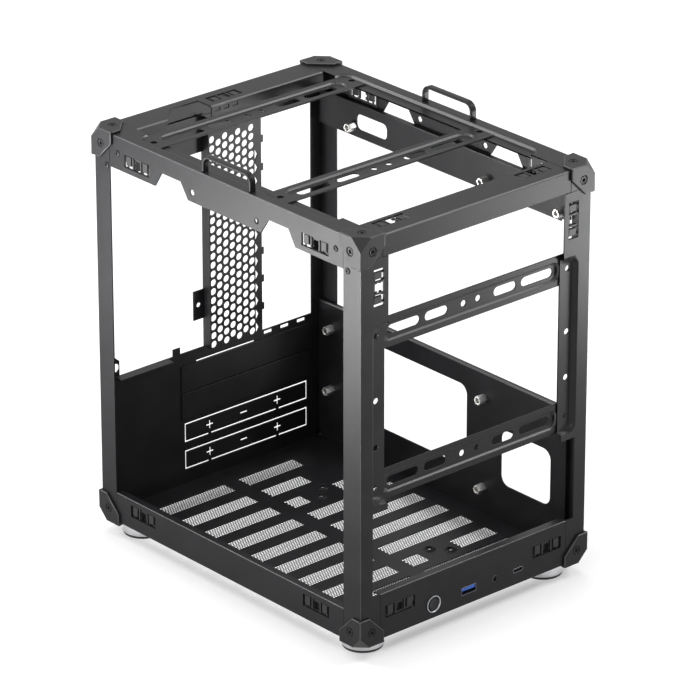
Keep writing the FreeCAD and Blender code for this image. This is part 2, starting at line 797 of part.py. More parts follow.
def field_edge(row):
    """The rear edge of a row of fields, counted from the rear wall."""
    return frame_y - d.field_rear_inset - (row - 1) * d.field_pitch


def perforate(first_row, rows, x_low, x_high):
    """Cross slots of one field, repeated for the rows in front of it."""
    far = field_edge(first_row + rows - 1)
    slots = []
    for index in range(SLOTS_IN_FIELD):
        edge = far - index * (slot_depth + d.field_web)
        slots.append(rectangle(x_low, x_high, edge - slot_depth, edge))
    holes = floor.cut("XY", slots, frame_low - d.steel, floor_top + d.steel)
    if rows > 1:
        floor.repeat(holes, "Y_Axis", d.field_pitch, rows)


perforate(1, FIELD_ROWS, -d.field_outer, -d.field_left_inner)
perforate(1, 1, d.field_right_inner, d.field_first_end)
perforate(2, 1, d.field_right_inner, d.field_second_end)
perforate(4, 4, d.field_right_inner, d.field_outer)
perforate(9, 1, d.field_right_inner, d.field_outer)
for row, rear_rim, front_rim in ((3, d.rim_far_x, d.rim_near_x), (8, d.rim_near_x, d.rim_far_x)):
    perforate(row, 1, d.field_right_inner, d.field_split_low)
    perforate(row, 1, d.field_split_high, d.field_outer)
    middle = field_edge(row) - d.field_depth / 2
    rims = [(rear_rim, middle + d.rim_step), (front_rim, middle - d.rim_step)]
    floor.cut("XY", [hexagon(x, y, d.rim_hole) for x, y in rims], frame_low - d.steel, floor_top + d.steel)


# Rear panel: perforated strip between the power-supply opening and the board-port opening

sill, port_sill = frame_low + d.psu_sill, frame_low + d.port_sill
panel_top = cross_rail_low - d.seam
panel_edge = frame_x - d.rear_post_back - d.seam
port_top = frame_top - d.port_drop
slot_right = frame_x - d.slot_right_inset

panel = piece("rear_panel")
outline = [(-panel_edge, floor_top), (panel_edge, floor_top), (panel_edge, port_sill),
           (d.port_left, port_sill), (d.port_left, port_top), (panel_edge, port_top), (panel_edge, panel_top),
           (d.psu_right, panel_top), (d.psu_right, sill), (d.hook_right, sill),
           (d.hook_right, sill + d.hook_rise), (d.hook_left, sill + d.hook_rise), (d.hook_left, sill),
           (-panel_edge, sill)]
panel.pad("XZ", [outline], inner_y, frame_y)
panel.pad("XY", [rectangle(-panel_edge, d.hook_left - d.hook_rise, frame_y - d.psu_flange, inner_y)],
          sill - d.steel, sill)
panel.pad("XY", [rectangle(d.psu_right, d.psu_right + d.steel, frame_y - d.psu_flange, inner_y)],
          sill, panel_top)
tab_low, tab_high = frame_low + d.psu_tab_low, frame_low + d.psu_tab_high
panel.pad("XZ", [rectangle(d.psu_right - d.psu_tab_reach, d.psu_right, tab_low, tab_high)], inner_y, frame_y)
panel.cut("XZ", [hexagon(d.psu_right - d.psu_tab_reach / 2, (tab_low + tab_high) / 2, d.psu_tab_hole)],
          inner_y - d.steel, block_y)
tooth = panel.pad("XZ", [rectangle(d.port_left - d.steel, d.port_left + d.port_tooth,
                                   port_sill + d.port_tooth_pitch - d.port_tooth_width,
                                   port_sill + d.port_tooth_pitch)], inner_y, frame_y)
panel.repeat(tooth, "Z_Axis", d.port_tooth_pitch, 7)
vent_z = frame_low + d.vent_low
for first, columns in enumerate(VENT_COLUMNS):
    hole = hexagon(d.vent_left + first * d.vent_column, vent_z + first * d.vent_row / 2, d.vent_hole)
    vent = panel.cut("XZ", [hole], inner_y - d.steel, block_y)
    panel.repeat(vent, "X_Axis", 2 * d.vent_column, columns, "Z_Axis", d.vent_row, VENT_ROWS)


def knock_out(z):
    """A slit round a slot's plate, which hangs on two small bridges below its plus marks, and three marks."""
    low, high = z - d.slot_height / 2, z + d.slot_height / 2
    gap, half = d.slot_bridge / 2, d.slot_slit / 2
    first, last = d.mark_first, d.mark_first + 2 * d.mark_pitch
    outer = (d.slot_left - half, slot_right + half, low - half, high + half)
    inner = (d.slot_left + half, slot_right - half, low + half, high - half)
    around = [(outer[0], outer[3]), (outer[0], outer[2]), (first - gap, outer[2]), (first - gap, inner[2]),
              (inner[0], inner[2]), (inner[0], inner[3]), (inner[1], inner[3]), (inner[1], inner[2]),
              (last + gap, inner[2]), (last + gap, outer[2]), (outer[1], outer[2]), (outer[1], outer[3])]
    middle = rectangle(first + gap, last - gap, outer[2], inner[2])
    marks = [plus_sign(first, z, d.mark_arm, d.slot_slit),
             block(first + d.mark_pitch, z, d.mark_arm, d.slot_slit),
             plus_sign(last, z, d.mark_arm, d.slot_slit)]
    return [around, middle] + marks


slot_z = [frame_low + d.slot_first_rise + index * d.slot_pitch for index in range(EXPANSION_SLOTS)]
for z in slot_z[:2]:
    panel.cut("XZ", knock_out(z), inner_y - d.steel, block_y)
panel.cut("XZ", [rectangle(d.slot_left, slot_right, z - d.slot_height / 2, z + d.slot_height / 2)
                 for z in slot_z[2:]], inner_y - d.steel, block_y)
slit_z = frame_low + d.long_slit_rise
long_slit = rectangle(d.long_slit_left, d.long_slit_right, slit_z - d.slot_slit / 2, slit_z + d.slot_slit / 2)
sill_slit_z = port_sill - d.sill_slit_drop
sill_slits = [block(d.sill_slit_first + index * d.sill_slit_pitch, sill_slit_z, d.sill_slit_length,
                    d.sill_slit_height) for index in range(SILL_SLITS)]
panel.cut("XZ", [long_slit] + sill_slits, inner_y - d.steel, block_y)

# Slot covers: flat strips on the inside of the panel
for number, z in enumerate(reversed(slot_z[2:]), start=1):
    cover = piece(f"slot_cover_{number}")
    half = d.cover_height / 2
    cover.pad("XZ", [rectangle(d.slot_left - d.cover_margin, slot_right + d.cover_margin, z - half, z + half)],
              inner_y - d.steel, inner_y)


# Board tray: a strip under the right rail and a plate on the floor, with the standoffs on both

tray_outer = tray_x + d.steel
strip_high = frame_top - d.tray_top_drop
strip_low = strip_high - d.tray_strip
board_top_z = frame_top - d.board_top_drop
board_middle_z = board_top_z - d.board_height
board_bottom_z = frame_low + d.board_bottom_rise
board_rear = frame_y - d.board_rear_inset
board_middle = board_rear - d.board_depth
board_front = -frame_y + d.board_front_inset
strip_end = frame_y - d.tray_strip_inset

upper = piece("tray_upper")
upper.pad("YZ", [rectangle(-strip_end, inner_y - d.seam, strip_low, strip_high)], tray_x, tray_outer)
upper.pad("XY", [rectangle(tray_x, inner_x, -strip_end, strip_end)], strip_high - d.steel, strip_high)
window_rear = frame_y - d.window_rear_inset
upper.cut("YZ", [rectangle(window_rear - d.window_length, window_rear, strip_low + d.window_low_rise,
                           strip_low + d.window_low_rise + d.window_height, d.window_corner)],
          tray_x - d.steel, tray_outer + d.steel)

lower = piece("tray_lower")
lower_top = board_middle_z + d.tray_lower_margin
trim = d.cap_wall + d.cap_gap
lower_front = -frame_y + d.tray_lower_front
lower.pad("YZ", [[(lower_front, floor_top), (inner_y - trim, floor_top), (inner_y, floor_top + trim),
                  (inner_y, lower_top), (lower_front, lower_top)]], tray_x, tray_outer)
lip = rectangle(tray_x, inner_x - d.tray_lip_gap, lower_front, inner_y)
lower.pad("XY", [lip], lower_top - d.steel, lower_top)
opening_low = frame_low + d.opening_low
cutout_front = -frame_y + d.cutout_front_inset
lower.cut("YZ", [rectangle(d.opening_front, d.opening_rear, opening_low, board_middle_z + d.opening_margin,
                           d.opening_corner),
                 rectangle(cutout_front, cutout_front + d.cutout_length, opening_low,
                           board_middle_z - d.cutout_margin, d.opening_corner)],
          tray_x - d.steel, tray_outer + d.steel / 2)

standoffs = piece("board_standoffs")
places = [(board_rear - d.board_port_offset, board_top_z), (board_middle, board_top_z),
          (board_front, board_top_z), (board_rear, board_middle_z), (board_middle, board_middle_z),
          (board_rear, board_middle_z - d.board_port_step), (board_middle, board_bottom_z)]
standoffs.pad("YZ", [hexagon(y, z, d.standoff_across) for y, z in places]
              + [octagon(y, z, d.standoff_bore) for y, z in places], tray_x - d.standoff_length, tray_x)


# Fan brackets: flat strips with long slots, short slots and two holes


def bracket_openings(y):
    openings = [hexagon(side * d.bracket_hole_offset, y, d.bracket_hole) for side in (LEFT, RIGHT)]
    for side in (LEFT, RIGHT):
        openings.append(oblong(*span(side, d.bracket_short_inner, d.bracket_short_outer), y, d.bracket_slot))
        openings.append(oblong(*span(side, d.bracket_long_inner, d.bracket_long_outer), y, d.bracket_slot))
    return openings


front_reach = frame_x - d.pad_edge - d.pad_slope
bracket_face = -frame_y + d.pad_recess + d.steel
for label, z in (("front_fan_bracket_upper", bracket_high), ("front_fan_bracket_lower", bracket_low)):
    bracket = piece(label)
    strip = block(as_size(0), z, 2 * front_reach, d.bracket_width)
    screws = [octagon(side * (frame_x - d.pad_hole_inset), z, d.pad_hole) for side in (LEFT, RIGHT)]
    bracket.pad("XZ", [strip] + bracket_openings(z) + screws, bracket_face, bracket_face + d.steel)

top_reach = frame_x - d.rail_strip - d.rail_step_run - d.bracket_end_gap
rear_bracket_y = frame_y - d.top_bracket_rear_inset
for label, y in (("top_fan_bracket_rear", rear_bracket_y),
                 ("top_fan_bracket_front", rear_bracket_y - d.top_fan_spacing)):
    bracket = piece(label)
    strip = block(as_size(0), y, 2 * top_reach, d.bracket_width)
    screws = [hexagon(side * (frame_x - d.bracket_screw_inset), y, d.bracket_hole) for side in (LEFT, RIGHT)]
    bracket.pad("XY", [strip] + bracket_openings(y) + screws, strip_top, strip_top + d.steel)


# Strap loops: a flat bar bent into a low bridge on the outer strip of each side rail

loops = piece("strap_loops")
loop_high, loop_under = frame_top + d.loop_rise, frame_top + d.loop_rise - d.loop_bar
loop_inner, inner_bend = d.loop_half_span - d.loop_bar, d.loop_bend - d.loop_bar
bridge = [(-d.loop_half_span, frame_top), (-d.loop_half_span, loop_high, d.loop_bend),
          (d.loop_half_span, loop_high, d.loop_bend), (d.loop_half_span, frame_top),
          (loop_inner, frame_top), (loop_inner, loop_under, inner_bend),
          (-loop_inner, loop_under, inner_bend), (-loop_inner, frame_top)]
loop_x = frame_x - d.loop_inset
for side in (LEFT, RIGHT):
    loops.pad("YZ", [bridge], *span(side, loop_x - d.loop_bar_width / 2, loop_x + d.loop_bar_width / 2))


# Spring clips behind their windows: a plate with an eye, and two leaves that fill the window's ends

clips = piece("panel_clips")


def clip_outlines(places, upright):
    """Plates with their eyes, and the leaves, for clips that lie in one plane."""
    long_way, short_way = d.clip_length + 2 * d.clip_rim, d.clip_width + 2 * d.clip_rim
    eye = d.clip_length - 2 * (d.clip_leaf + d.clip_leaf_gap)
    reach = d.clip_length / 2 - d.clip_leaf_gap - d.clip_leaf / 2
    leaf = (d.clip_leaf, d.clip_width - 2 * d.clip_leaf_gap)
    plates, leaves = [], []
    for x, y in places:
        size, hole = (long_way, short_way), (eye, leaf[1])
        moves = [(-reach, 0), (reach, 0)]
        if upright:
            size, hole = size[::-1], hole[::-1]
            moves = [move[::-1] for move in moves]
        plates += [block(x, y, *size), block(x, y, *hole)]
        leaves += [block(x + u, y + v, *(leaf[::-1] if upright else leaf)) for u, v in moves]
    return plates, leaves


def add_clips(plane, places, side, outer, upright=False):
    inner = outer - d.steel
    plates, leaves = clip_outlines(places, upright)
    clips.pad(plane, plates, *span(side, inner - d.clip_plate, inner))
    clips.pad(plane, leaves, *span(side, inner, outer - d.clip_leaf_sink))


for side in (LEFT, RIGHT):
    side_places = [(end * clip_y, z) for end in (FRONT, REAR) for z in (side_clip_z, wall_clip_z)]
    add_clips("YZ", side_places, side, frame_x)
wall_places = [(side * wall_clip_x, front_wall_clip_z) for side in (LEFT, RIGHT)]
add_clips("XZ", wall_places, FRONT, frame_y)
post_places = [(side * (frame_x - d.post_clip_inset), frame_top - d.post_clip_drop) for side in (LEFT, RIGHT)]
add_clips("XZ", post_places, FRONT, frame_y, upright=True)
add_clips("XY", [(side * front_clip_x, front_clip_y) for side in (LEFT, RIGHT)]
          + [(d.rear_clip_offset, rear_clip_y)], TOP, frame_top)


# Power button and front ports, all set in the floor pan's front wall

bezel = piece("power_button_bezel")
bezel_edges = [polygon(d.button_x, port_z, size, BEZEL_SIDES) for size in (d.bezel_diameter, d.bezel_bore)]
bezel.pad("XZ", bezel_edges, -frame_y - d.bezel_proud, -frame_y)
button_face = -frame_y - d.button_proud
button_back = button_face + d.button_length
button = piece("power_button_cap")
button.pad("XZ", [circle(d.button_x, port_z, d.button_diameter)], button_face, button_back)
# The switch is a hexagonal barrel against the wall; the button slides in its blind bore
switch = piece("power_switch_body")
switch.pad("XZ", [hexagon(d.button_x, port_z, d.switch_across)], -inner_y, -inner_y + d.switch_length)
switch.cut("XZ", [hexagon(d.button_x, port_z, d.bezel_bore)], -frame_y,
           button_back + d.button_travel + d.button_clearance)

shell = piece("usb_a_shell")
inside = (d.usb_a_width - 2 * d.shell_wall, d.usb_a_height - 2 * d.shell_wall)
shell.pad("XZ", [block(d.usb_a_x, port_z, d.usb_a_width, d.usb_a_height), block(d.usb_a_x, port_z, *inside)],
          -frame_y, -frame_y + d.usb_a_length)
tongue = piece("usb_a_tongue")
roof = port_z + inside[1] / 2
back = -frame_y + d.usb_a_length
tongue.pad("XZ", [rectangle(d.usb_a_x - inside[0] / 2 + d.usb_a_tongue_side,
                            d.usb_a_x + inside[0] / 2 - d.usb_a_tongue_side, roof - d.usb_a_tongue, roof)],
           -frame_y + d.steel, back)

shell = piece("usb_c_shell")
half = d.usb_c_width / 2
shell.pad("XZ", [oblong(d.usb_c_x - half, d.usb_c_x + half, port_z, d.usb_c_height),
                 oblong(d.usb_c_x - half + d.shell_wall, d.usb_c_x + half - d.shell_wall, port_z,
                        d.usb_c_height - 2 * d.shell_wall)], -frame_y, -frame_y + d.usb_c_length)
plug = oblong(d.usb_c_x - half + d.shell_wall, d.usb_c_x + half - d.shell_wall, port_z,
              d.usb_c_height - 2 * d.shell_wall)
tongue = piece("usb_c_tongue")
blade = half - d.shell_wall - d.usb_c_tongue_side
tongue.pad("XZ", [block(d.usb_c_x, port_z, 2 * blade, d.usb_c_tongue)], -frame_y + d.steel,
           -frame_y + d.usb_c_length)
tongue.pad("XZ", [plug], -frame_y + d.usb_c_length - d.steel, -frame_y + d.usb_c_length)

jack = piece("audio_jack")
jack.pad("XZ", [octagon(d.audio_x, port_z, d.audio_barrel), octagon(d.audio_x, port_z, d.audio_bore)],
         -frame_y, -frame_y + d.audio_length)

board_low = port_z - d.usb_a_height / 2 - d.io_board_thickness
board = piece("io_board")
board_left = d.usb_a_x - d.usb_a_width / 2 - d.io_board_margin
board_right = d.usb_c_x + d.usb_c_width / 2 + d.io_board_margin
board.pad("XY", [rectangle(board_left, board_right, -inner_y, -inner_y + d.io_board_depth)],
          board_low, board_low + d.io_board_thickness)


# Feet: four bright discs, each with a rubber pad under it

foot_x, foot_y = block_x - d.foot_x_inset, block_y - d.foot_y_inset
foot_places = [(side * foot_x, end * foot_y) for side in (LEFT, RIGHT) for end in (FRONT, REAR)]
rings = piece("foot_rings")
rings.pad("XY", [circle(x, y, d.foot_diameter) for x, y in foot_places], d.foot_pad_proud, base)
rubber = piece("foot_pads")
rubber.pad("XY", [circle(x, y, d.foot_pad_diameter) for x, y in foot_places], 0, d.foot_pad_proud)


# Rebuild, make sure that every feature worked, then write one file for each sub-part

doc.recompute()
failed = [item.Label for item in doc.Objects if {"Invalid", "Error"} & set(item.State)]
for made in pieces:
    shape = made.body.Shape
    if shape.isNull() or not shape.isValid() or not shape.Solids:
        failed.append(made.label)
if failed:
    raise RuntimeError(f"these did not rebuild: {failed}")
os.makedirs("parts", exist_ok=True)
for made in pieces:
    made.body.Shape.exportStep(f"parts/{made.label}.step")
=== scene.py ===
import math

import bmesh
import bpy
import numpy as np
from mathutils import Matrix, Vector


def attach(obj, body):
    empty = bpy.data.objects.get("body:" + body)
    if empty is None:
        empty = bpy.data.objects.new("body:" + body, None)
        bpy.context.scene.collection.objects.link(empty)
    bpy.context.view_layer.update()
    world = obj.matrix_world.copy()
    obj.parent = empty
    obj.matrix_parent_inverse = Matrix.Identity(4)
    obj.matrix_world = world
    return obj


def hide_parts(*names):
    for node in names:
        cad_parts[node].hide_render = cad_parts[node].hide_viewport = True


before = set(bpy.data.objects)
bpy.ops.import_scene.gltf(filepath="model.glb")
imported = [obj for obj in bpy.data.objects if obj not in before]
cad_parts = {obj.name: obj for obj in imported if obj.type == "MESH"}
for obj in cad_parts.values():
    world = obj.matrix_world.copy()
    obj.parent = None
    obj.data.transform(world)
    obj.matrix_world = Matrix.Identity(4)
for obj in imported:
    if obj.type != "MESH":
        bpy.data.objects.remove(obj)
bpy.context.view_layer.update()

# Mini-tower computer case with its panels off. Lengths are in millimetres; the stage's are in metres

MM = 0.001
CASE, BUTTON = "case_frame", "power_button"
STEEL, SCREW_HOLE, HOLE_STEPS = 1.0, 4.4, 20
FRAME_X, FRAME_Y, FRAME_TOP = 99.2, 131.5, 292.7
FLOOR_TOP, TRAY_FACE = 12.3, 94.5
FOLD, SHEET_EDGE, SMALL_EDGE, FINE_EDGE = 1.1, 0.3, 0.2, 0.1
CREASE, BLOCK_CREASE, SOFT_CREASE = 35, 40, 50
FRONT_BRACKETS = {"upper": 223.1, "lower": 118.1}
FAN_SCREW_X = 83.0
SIDES = ((-1, "left"), (1, "right"))
ENDS = ((-1, "front"), (1, "rear"))
LEVELS = ((1, "top"), (-1, "bottom"))
PAINTED_SHEEN_ATTRIBUTE = "painted_sheen"
TINY = 1e-9


# Shader nodes that several finishes share


def noise(tree, scale, detail):
    """Noise on Object coordinates, so that it keeps its size on each piece."""
    place, texture = tree.nodes.new("ShaderNodeTexCoord"), tree.nodes.new("ShaderNodeTexNoise")
    texture.inputs["Scale"].default_value = scale
    texture.inputs["Detail"].default_value = detail
    tree.links.new(place.outputs["Object"], texture.inputs["Vector"])
    return texture.outputs["Fac"]


def spread(tree, value, low, high, span=(0.0, 1.0), kind="LINEAR"):
    """Carry a value that runs over the span to the range from low to high."""
    node = tree.nodes.new("ShaderNodeMapRange")
    node.interpolation_type = kind
    node.inputs["From Min"].default_value, node.inputs["From Max"].default_value = span
    node.inputs["To Min"].default_value, node.inputs["To Max"].default_value = low, high
    tree.links.new(value, node.inputs["Value"])
    return node.outputs["Result"]


def combined(tree, operation, *values):
    """One Math node that works on the values in their order."""
    node = tree.nodes.new("ShaderNodeMath")
    node.operation = operation
    for value, socket in zip(values, node.inputs):
        tree.links.new(value, socket)
    return node.outputs[0]


# Finishes: a mottled coat with a fine raised grain

MOTTLE, CLOUD_SCALE, CLOUD_DETAIL, CLOUD_BAND = 0.15, 45.0, 4.0, (0.35, 0.65)
GLOSS_SPREAD = 0.04
GRAIN_HEIGHT, GRAIN_DETAIL = 0.05, 2.0


def mottled(tree, cloud, colour):
    """Colour ramp over the cloud, from a little darker than the colour to a little lighter."""
    ramp = tree.nodes.new("ShaderNodeValToRGB")
    for element, place, share in zip(ramp.color_ramp.elements, CLOUD_BAND, (1 - MOTTLE, 1 + MOTTLE)):
        element.position = place
        element.color = (*[min(channel * share, 1.0) for channel in colour], 1)
    tree.links.new(cloud, ramp.inputs["Fac"])
    return ramp.outputs["Color"]


def raised_grain(tree, strength, size):
    """Bump of fine noise, with the scale that gives grains of about the size."""
    bump = tree.nodes.new("ShaderNodeBump")
    bump.inputs["Strength"].default_value = strength
    bump.inputs["Distance"].default_value = GRAIN_HEIGHT * MM
    tree.links.new(noise(tree, 1 / MM / size, GRAIN_DETAIL), bump.inputs["Height"])
    return bump.outputs["Normal"]


def finish(name, colour, roughness, grain, grain_size, metallic=0.0, sheen=0.5, painted_highlight_sheen=None):
    """Principled surface: noise mottles the colour and the roughness, and fine noise raises the grain.
    Where the mesh's painted-sheen value is one, the specular level rises to the painted highlight level: a
    painted highlight on folds, rims and facets."""
    material = bpy.data.materials.new(name)
    material.use_nodes = True
    tree = material.node_tree
    sockets = tree.nodes["Principled BSDF"].inputs
    cloud = noise(tree, CLOUD_SCALE, CLOUD_DETAIL)
    gloss = spread(tree, cloud, roughness - GLOSS_SPREAD, roughness + GLOSS_SPREAD)
    tree.links.new(mottled(tree, cloud, colour), sockets["Base Color"])
    tree.links.new(gloss, sockets["Roughness"])
    tree.links.new(raised_grain(tree, grain, grain_size), sockets["Normal"])
    sockets["Metallic"].default_value = metallic
    sockets["Specular IOR Level"].default_value = sheen
    # Painted highlight: the mesh's painted-sheen value lifts the specular level along folds, rims and facets
    if painted_highlight_sheen:
        painted_sheen = tree.nodes.new("ShaderNodeAttribute")
        painted_sheen.attribute_name = PAINTED_SHEEN_ATTRIBUTE
        shine = spread(tree, painted_sheen.outputs["Fac"], sheen, painted_highlight_sheen)
        tree.links.new(shine, sockets["Specular IOR Level"])
    return material


FINISHES = {
    # Frame and block coats carry a painted highlight along their folds, rims and facets
    "frame_paint": finish("satin_black_powder_coat", (0.013, 0.013, 0.0145), 0.38,
                          grain=0.35, grain_size=0.5, sheen=0.15, painted_highlight_sheen=1.0),
    "block_paint": finish("satin_black_block_coat", (0.015, 0.015, 0.0165), 0.42,
                          grain=0.35, grain_size=0.5, sheen=0.17, painted_highlight_sheen=0.9),
    "clip_black": finish("black_clip_plastic", (0.014, 0.014, 0.015), 0.5,
                         grain=0.2, grain_size=0.8, sheen=0.3),
    "standoff_nickel": finish("nickel_plate", (0.80, 0.79, 0.77), 0.45,
                              grain=0.1, grain_size=0.4, metallic=1.0),
    "button_ring": finish("bright_turned_ring", (0.36, 0.37, 0.39), 0.32,
                          grain=0.1, grain_size=0.3, metallic=1.0),
    "button_black": finish("dark_button_plastic", (0.012, 0.012, 0.014), 0.34,
                           grain=0.15, grain_size=0.3, sheen=0.25),
    "shell_steel": finish("drawn_steel_shell", (0.15, 0.15, 0.16), 0.35,
                          grain=0.2, grain_size=0.4, metallic=1.0),
    "tongue_blue": finish("blue_tongue_plastic", (0.016, 0.13, 0.62), 0.4, grain=0.1, grain_size=0.4),
    "port_black": finish("black_port_plastic", (0.012, 0.012, 0.013), 0.45, grain=0.1, grain_size=0.4),
    "board_green": finish("coated_circuit_board", (0.012, 0.05, 0.03), 0.35, grain=0.15, grain_size=1.0),
    "foot_chrome": finish("bright_foot_plate", (0.58, 0.58, 0.60), 0.2,
                          grain=0.06, grain_size=0.6, metallic=1.0),
    "foot_rubber": finish("black_foot_rubber", (0.020, 0.020, 0.021), 0.7, grain=0.4, grain_size=0.7),
}


# Surfaces: each is (points, [face index arrays]), worked out as whole arrays

LINE_DIGITS, ANGLE_DIGITS = 4, 6


def wrapped(rows, columns):
    """Quads of a grid that closes on itself: the point in a row and a column has the index
    row * columns + column, and the last column joins the first."""
    row, column = np.meshgrid(np.arange(rows - 1), np.arange(columns), indexing="ij")
    here, after = row * columns + column, row * columns + (column + 1) % columns
    return np.stack([here, after, after + columns, here + columns], axis=-1).reshape(-1, 4)


def outward(surface):
    """Turn all faces over where the volume that they enclose, summed over a fan of triangles in each face,
    comes out negative."""
    points, groups = surface
    centre = points.mean(axis=0)
    volume = 0.0
    for faces in groups:
        corners = points[faces] - centre
        volume += np.einsum("ik,ijk->", corners[:, 0], np.cross(corners[:, 1:-1], corners[:, 2:]))
    if volume < 0:
        groups = [faces[:, ::-1] for faces in groups]
    return points, groups


def stacked(surfaces):
    """Several surfaces as one: points stacked, face indices moved on by the points before them."""
    points, groups, start = [], [], 0
    for new_points, new_groups in surfaces:
        points.append(new_points)
        groups += [faces + start for faces in new_groups]
        start += len(new_points)
    return np.concatenate(points), groups


def joined(surfaces):
    """Several surfaces as one, each with its faces turned outwards first."""
    return stacked([outward(surface) for surface in surfaces])


def placed(surface, order):
    """Put the surface's own (u, v, w) along the axes that order names, such as "xzy"."""
    points, groups = surface
    return points[:, [order.index(axis) for axis in "xyz"]], groups


def around(u, v, width, height):
    """Limits of a rectangle about its middle."""
    return (u - width / 2, u + width / 2, v - height / 2, v + height / 2)


def pair(low_u, high_u, low_v, high_v):
    """A rectangle and its mirror image in the middle line."""
    return [(-high_u, -low_u, low_v, high_v), (low_u, high_u, low_v, high_v)]


def turned(profile, centre, axis, steps):
    """Surface of revolution: profile rows (radius, height) turned about an axis through the centre, such as
    "z"; with "-y" the heights run along -Y."""
    radius, height = np.asarray(profile, float).T
    angle = np.linspace(0, 2 * math.pi, steps, endpoint=False)
    u = radius[:, None] * np.cos(angle)
    v = radius[:, None] * np.sin(angle)
    w = np.repeat(height[:, None], steps, axis=1) * (-1 if axis[0] == "-" else 1)
    order = {"x": (w, u, v), "y": (u, w, v), "z": (u, v, w)}[axis[-1]]
    points = np.stack(order, axis=-1).reshape(-1, 3) + np.asarray(centre, float)
    return points, [wrapped(len(profile), steps)]


def grid_lines(limits, extra):
    """Sorted lines of a grid, those that fall together taken once."""
    return np.unique(np.round(np.concatenate([limits.ravel(), np.asarray(extra, float)]), LINE_DIGITS))


def covered(us, vs, rectangles):
    """True for each cell between the grid's lines whose middle is in one of the rectangles."""
    mid_u, mid_v = (us[1:] + us[:-1]) / 2, (vs[1:] + vs[:-1]) / 2
    low_u, high_u, low_v, high_v = np.asarray(rectangles, float).reshape(-1, 4).T[:, :, None]
    in_u = (mid_u > low_u) & (mid_u < high_u)
    in_v = (mid_v > low_v) & (mid_v < high_v)
    return (in_u[:, :, None] & in_v[:, None, :]).any(axis=0)


# For the step from a cell to its empty neighbour: the two corners between them, as steps from the cell's own
WALLS = {
    (1, 0): ((1, 0), (1, 1)),
    (-1, 0): ((0, 1), (0, 0)),
    (0, 1): ((1, 1), (0, 1)),
    (0, -1): ((0, 0), (1, 0)),
}


def plate(adds, cuts, low, high, patches=(), lines_u=(), lines_v=()):
    """Flat sheet on a grid of cut lines: a cell is solid where it is in a rectangle of adds and in none of
    cuts. Both faces are drawn on solid cells, and walls where solid meets empty; patches are filled by other
    surfaces."""
    boxes = np.array([*adds, *cuts, *patches], float)
    us, vs = grid_lines(boxes[:, :2], lines_u), grid_lines(boxes[:, 2:], lines_v)
    held = covered(us, vs, adds) & ~covered(us, vs, cuts)
    grid = np.stack(np.meshgrid(us, vs, indexing="ij"), axis=-1).reshape(-1, 2)
    points = np.concatenate([np.column_stack([grid, np.full(len(grid), level)]) for level in (low, high)])
    columns, above = len(vs), len(grid)
    i, j = np.nonzero(held & ~covered(us, vs, patches))
    corner = i * columns + j
    under = np.stack([corner, corner + 1, corner + columns + 1, corner + columns], axis=-1)
    faces = [under, under[:, ::-1] + above]
    ring = np.pad(held, 1)
    for (step_u, step_v), ends in WALLS.items():
        beside = ring[1 + step_u:1 + step_u + held.shape[0], 1 + step_v:1 + step_v + held.shape[1]]
        i, j = np.nonzero(held & ~beside)
        first, last = ((i + end_u) * columns + j + end_v for end_u, end_v in ends)
        faces.append(np.stack([first, last, last + above, first + above], axis=-1))
    used, numbers = np.unique(np.concatenate([quads.ravel() for quads in faces]), return_inverse=True)
    return points[used], [numbers.reshape(-1, 4)]


def slot_reach(angle, half_length, half_width):
    """Distance from the middle of a round-ended slot to its edge: its straight sides, or its end circles
    further out."""
    run = half_length - half_width
    sine, cosine = np.abs(np.sin(angle)), np.abs(np.cos(angle))
    side = half_width / np.maximum(sine, TINY)
    end = run * cosine + np.sqrt(np.maximum(half_width ** 2 - (run * sine) ** 2, 0))
    return np.where(side * cosine <= run, side, end)


def pierced(centres, cell, hole, low, high, steps):
    """Sheet cells with a round or round-ended hole: a ring of quads runs from the hole's edge to the cell's
    edge on both faces, and a wall joins the two hole edges. One template is moved to every centre."""
    half = np.asarray(cell, float) / 2
    half_hole = np.asarray(hole, float) / 2
    turn = np.linspace(0, 2 * math.pi, steps, endpoint=False)
    around_hole = np.arctan2(half_hole[1] * np.sin(turn), half_hole[0] * np.cos(turn)) % (2 * math.pi)
    corner = math.atan2(half[1], half[0])
    corners = np.array([corner, math.pi - corner, math.pi + corner, 2 * math.pi - corner])
    angle = np.unique(np.round(np.concatenate([around_hole, corners]), ANGLE_DIGITS))
    ray = np.stack([np.cos(angle), np.sin(angle)], axis=-1)
    inner = ray * slot_reach(angle, *half_hole)[:, None]
    outer = ray * (half / np.maximum(np.abs(ray), TINY)).min(axis=1)[:, None]
    loops = [(outer, low), (inner, low), (inner, high), (outer, high)]
    template = np.concatenate([np.column_stack([loop, np.full(len(loop), level)]) for loop, level in loops])
    quads = wrapped(len(loops), len(angle))
    centres = np.column_stack([np.asarray(centres, float), np.zeros(len(centres))])
    points = (centres[:, None] + template[None]).reshape(-1, 3)
    faces = (np.arange(len(centres))[:, None, None] * len(template) + quads[None]).reshape(-1, 4)
    return points, [faces]


def carried(section, path, side):
    """A section carried along a path and closed at both ends: each section point moves by its first number
    along the fixed side direction, and by its second along the normal of the path and that side."""
    section, path, side = (np.asarray(values, float) for values in (section, path, side))
    normal = np.cross(np.gradient(path, axis=0), side)
    normal /= np.linalg.norm(normal, axis=1, keepdims=True)
    points = path[:, None] + section[None, :, :1] * side + section[None, :, 1:] * normal[:, None]
    start = np.arange(len(section))[None]
    end = start[:, ::-1] + (len(path) - 1) * len(section)
    return points.reshape(-1, 3), [wrapped(len(path), len(section)), start, end]


def ease(distance, full, none):
    """Smooth step: one where the distance is below full, nought above none."""
    t = np.clip((none - distance) / (none - full), 0, 1)
    return t * t * (3 - 2 * t)


def slope(step):
    """One halfway up a smooth step, nought at its foot and its top."""
    return 4 * step * (1 - step)


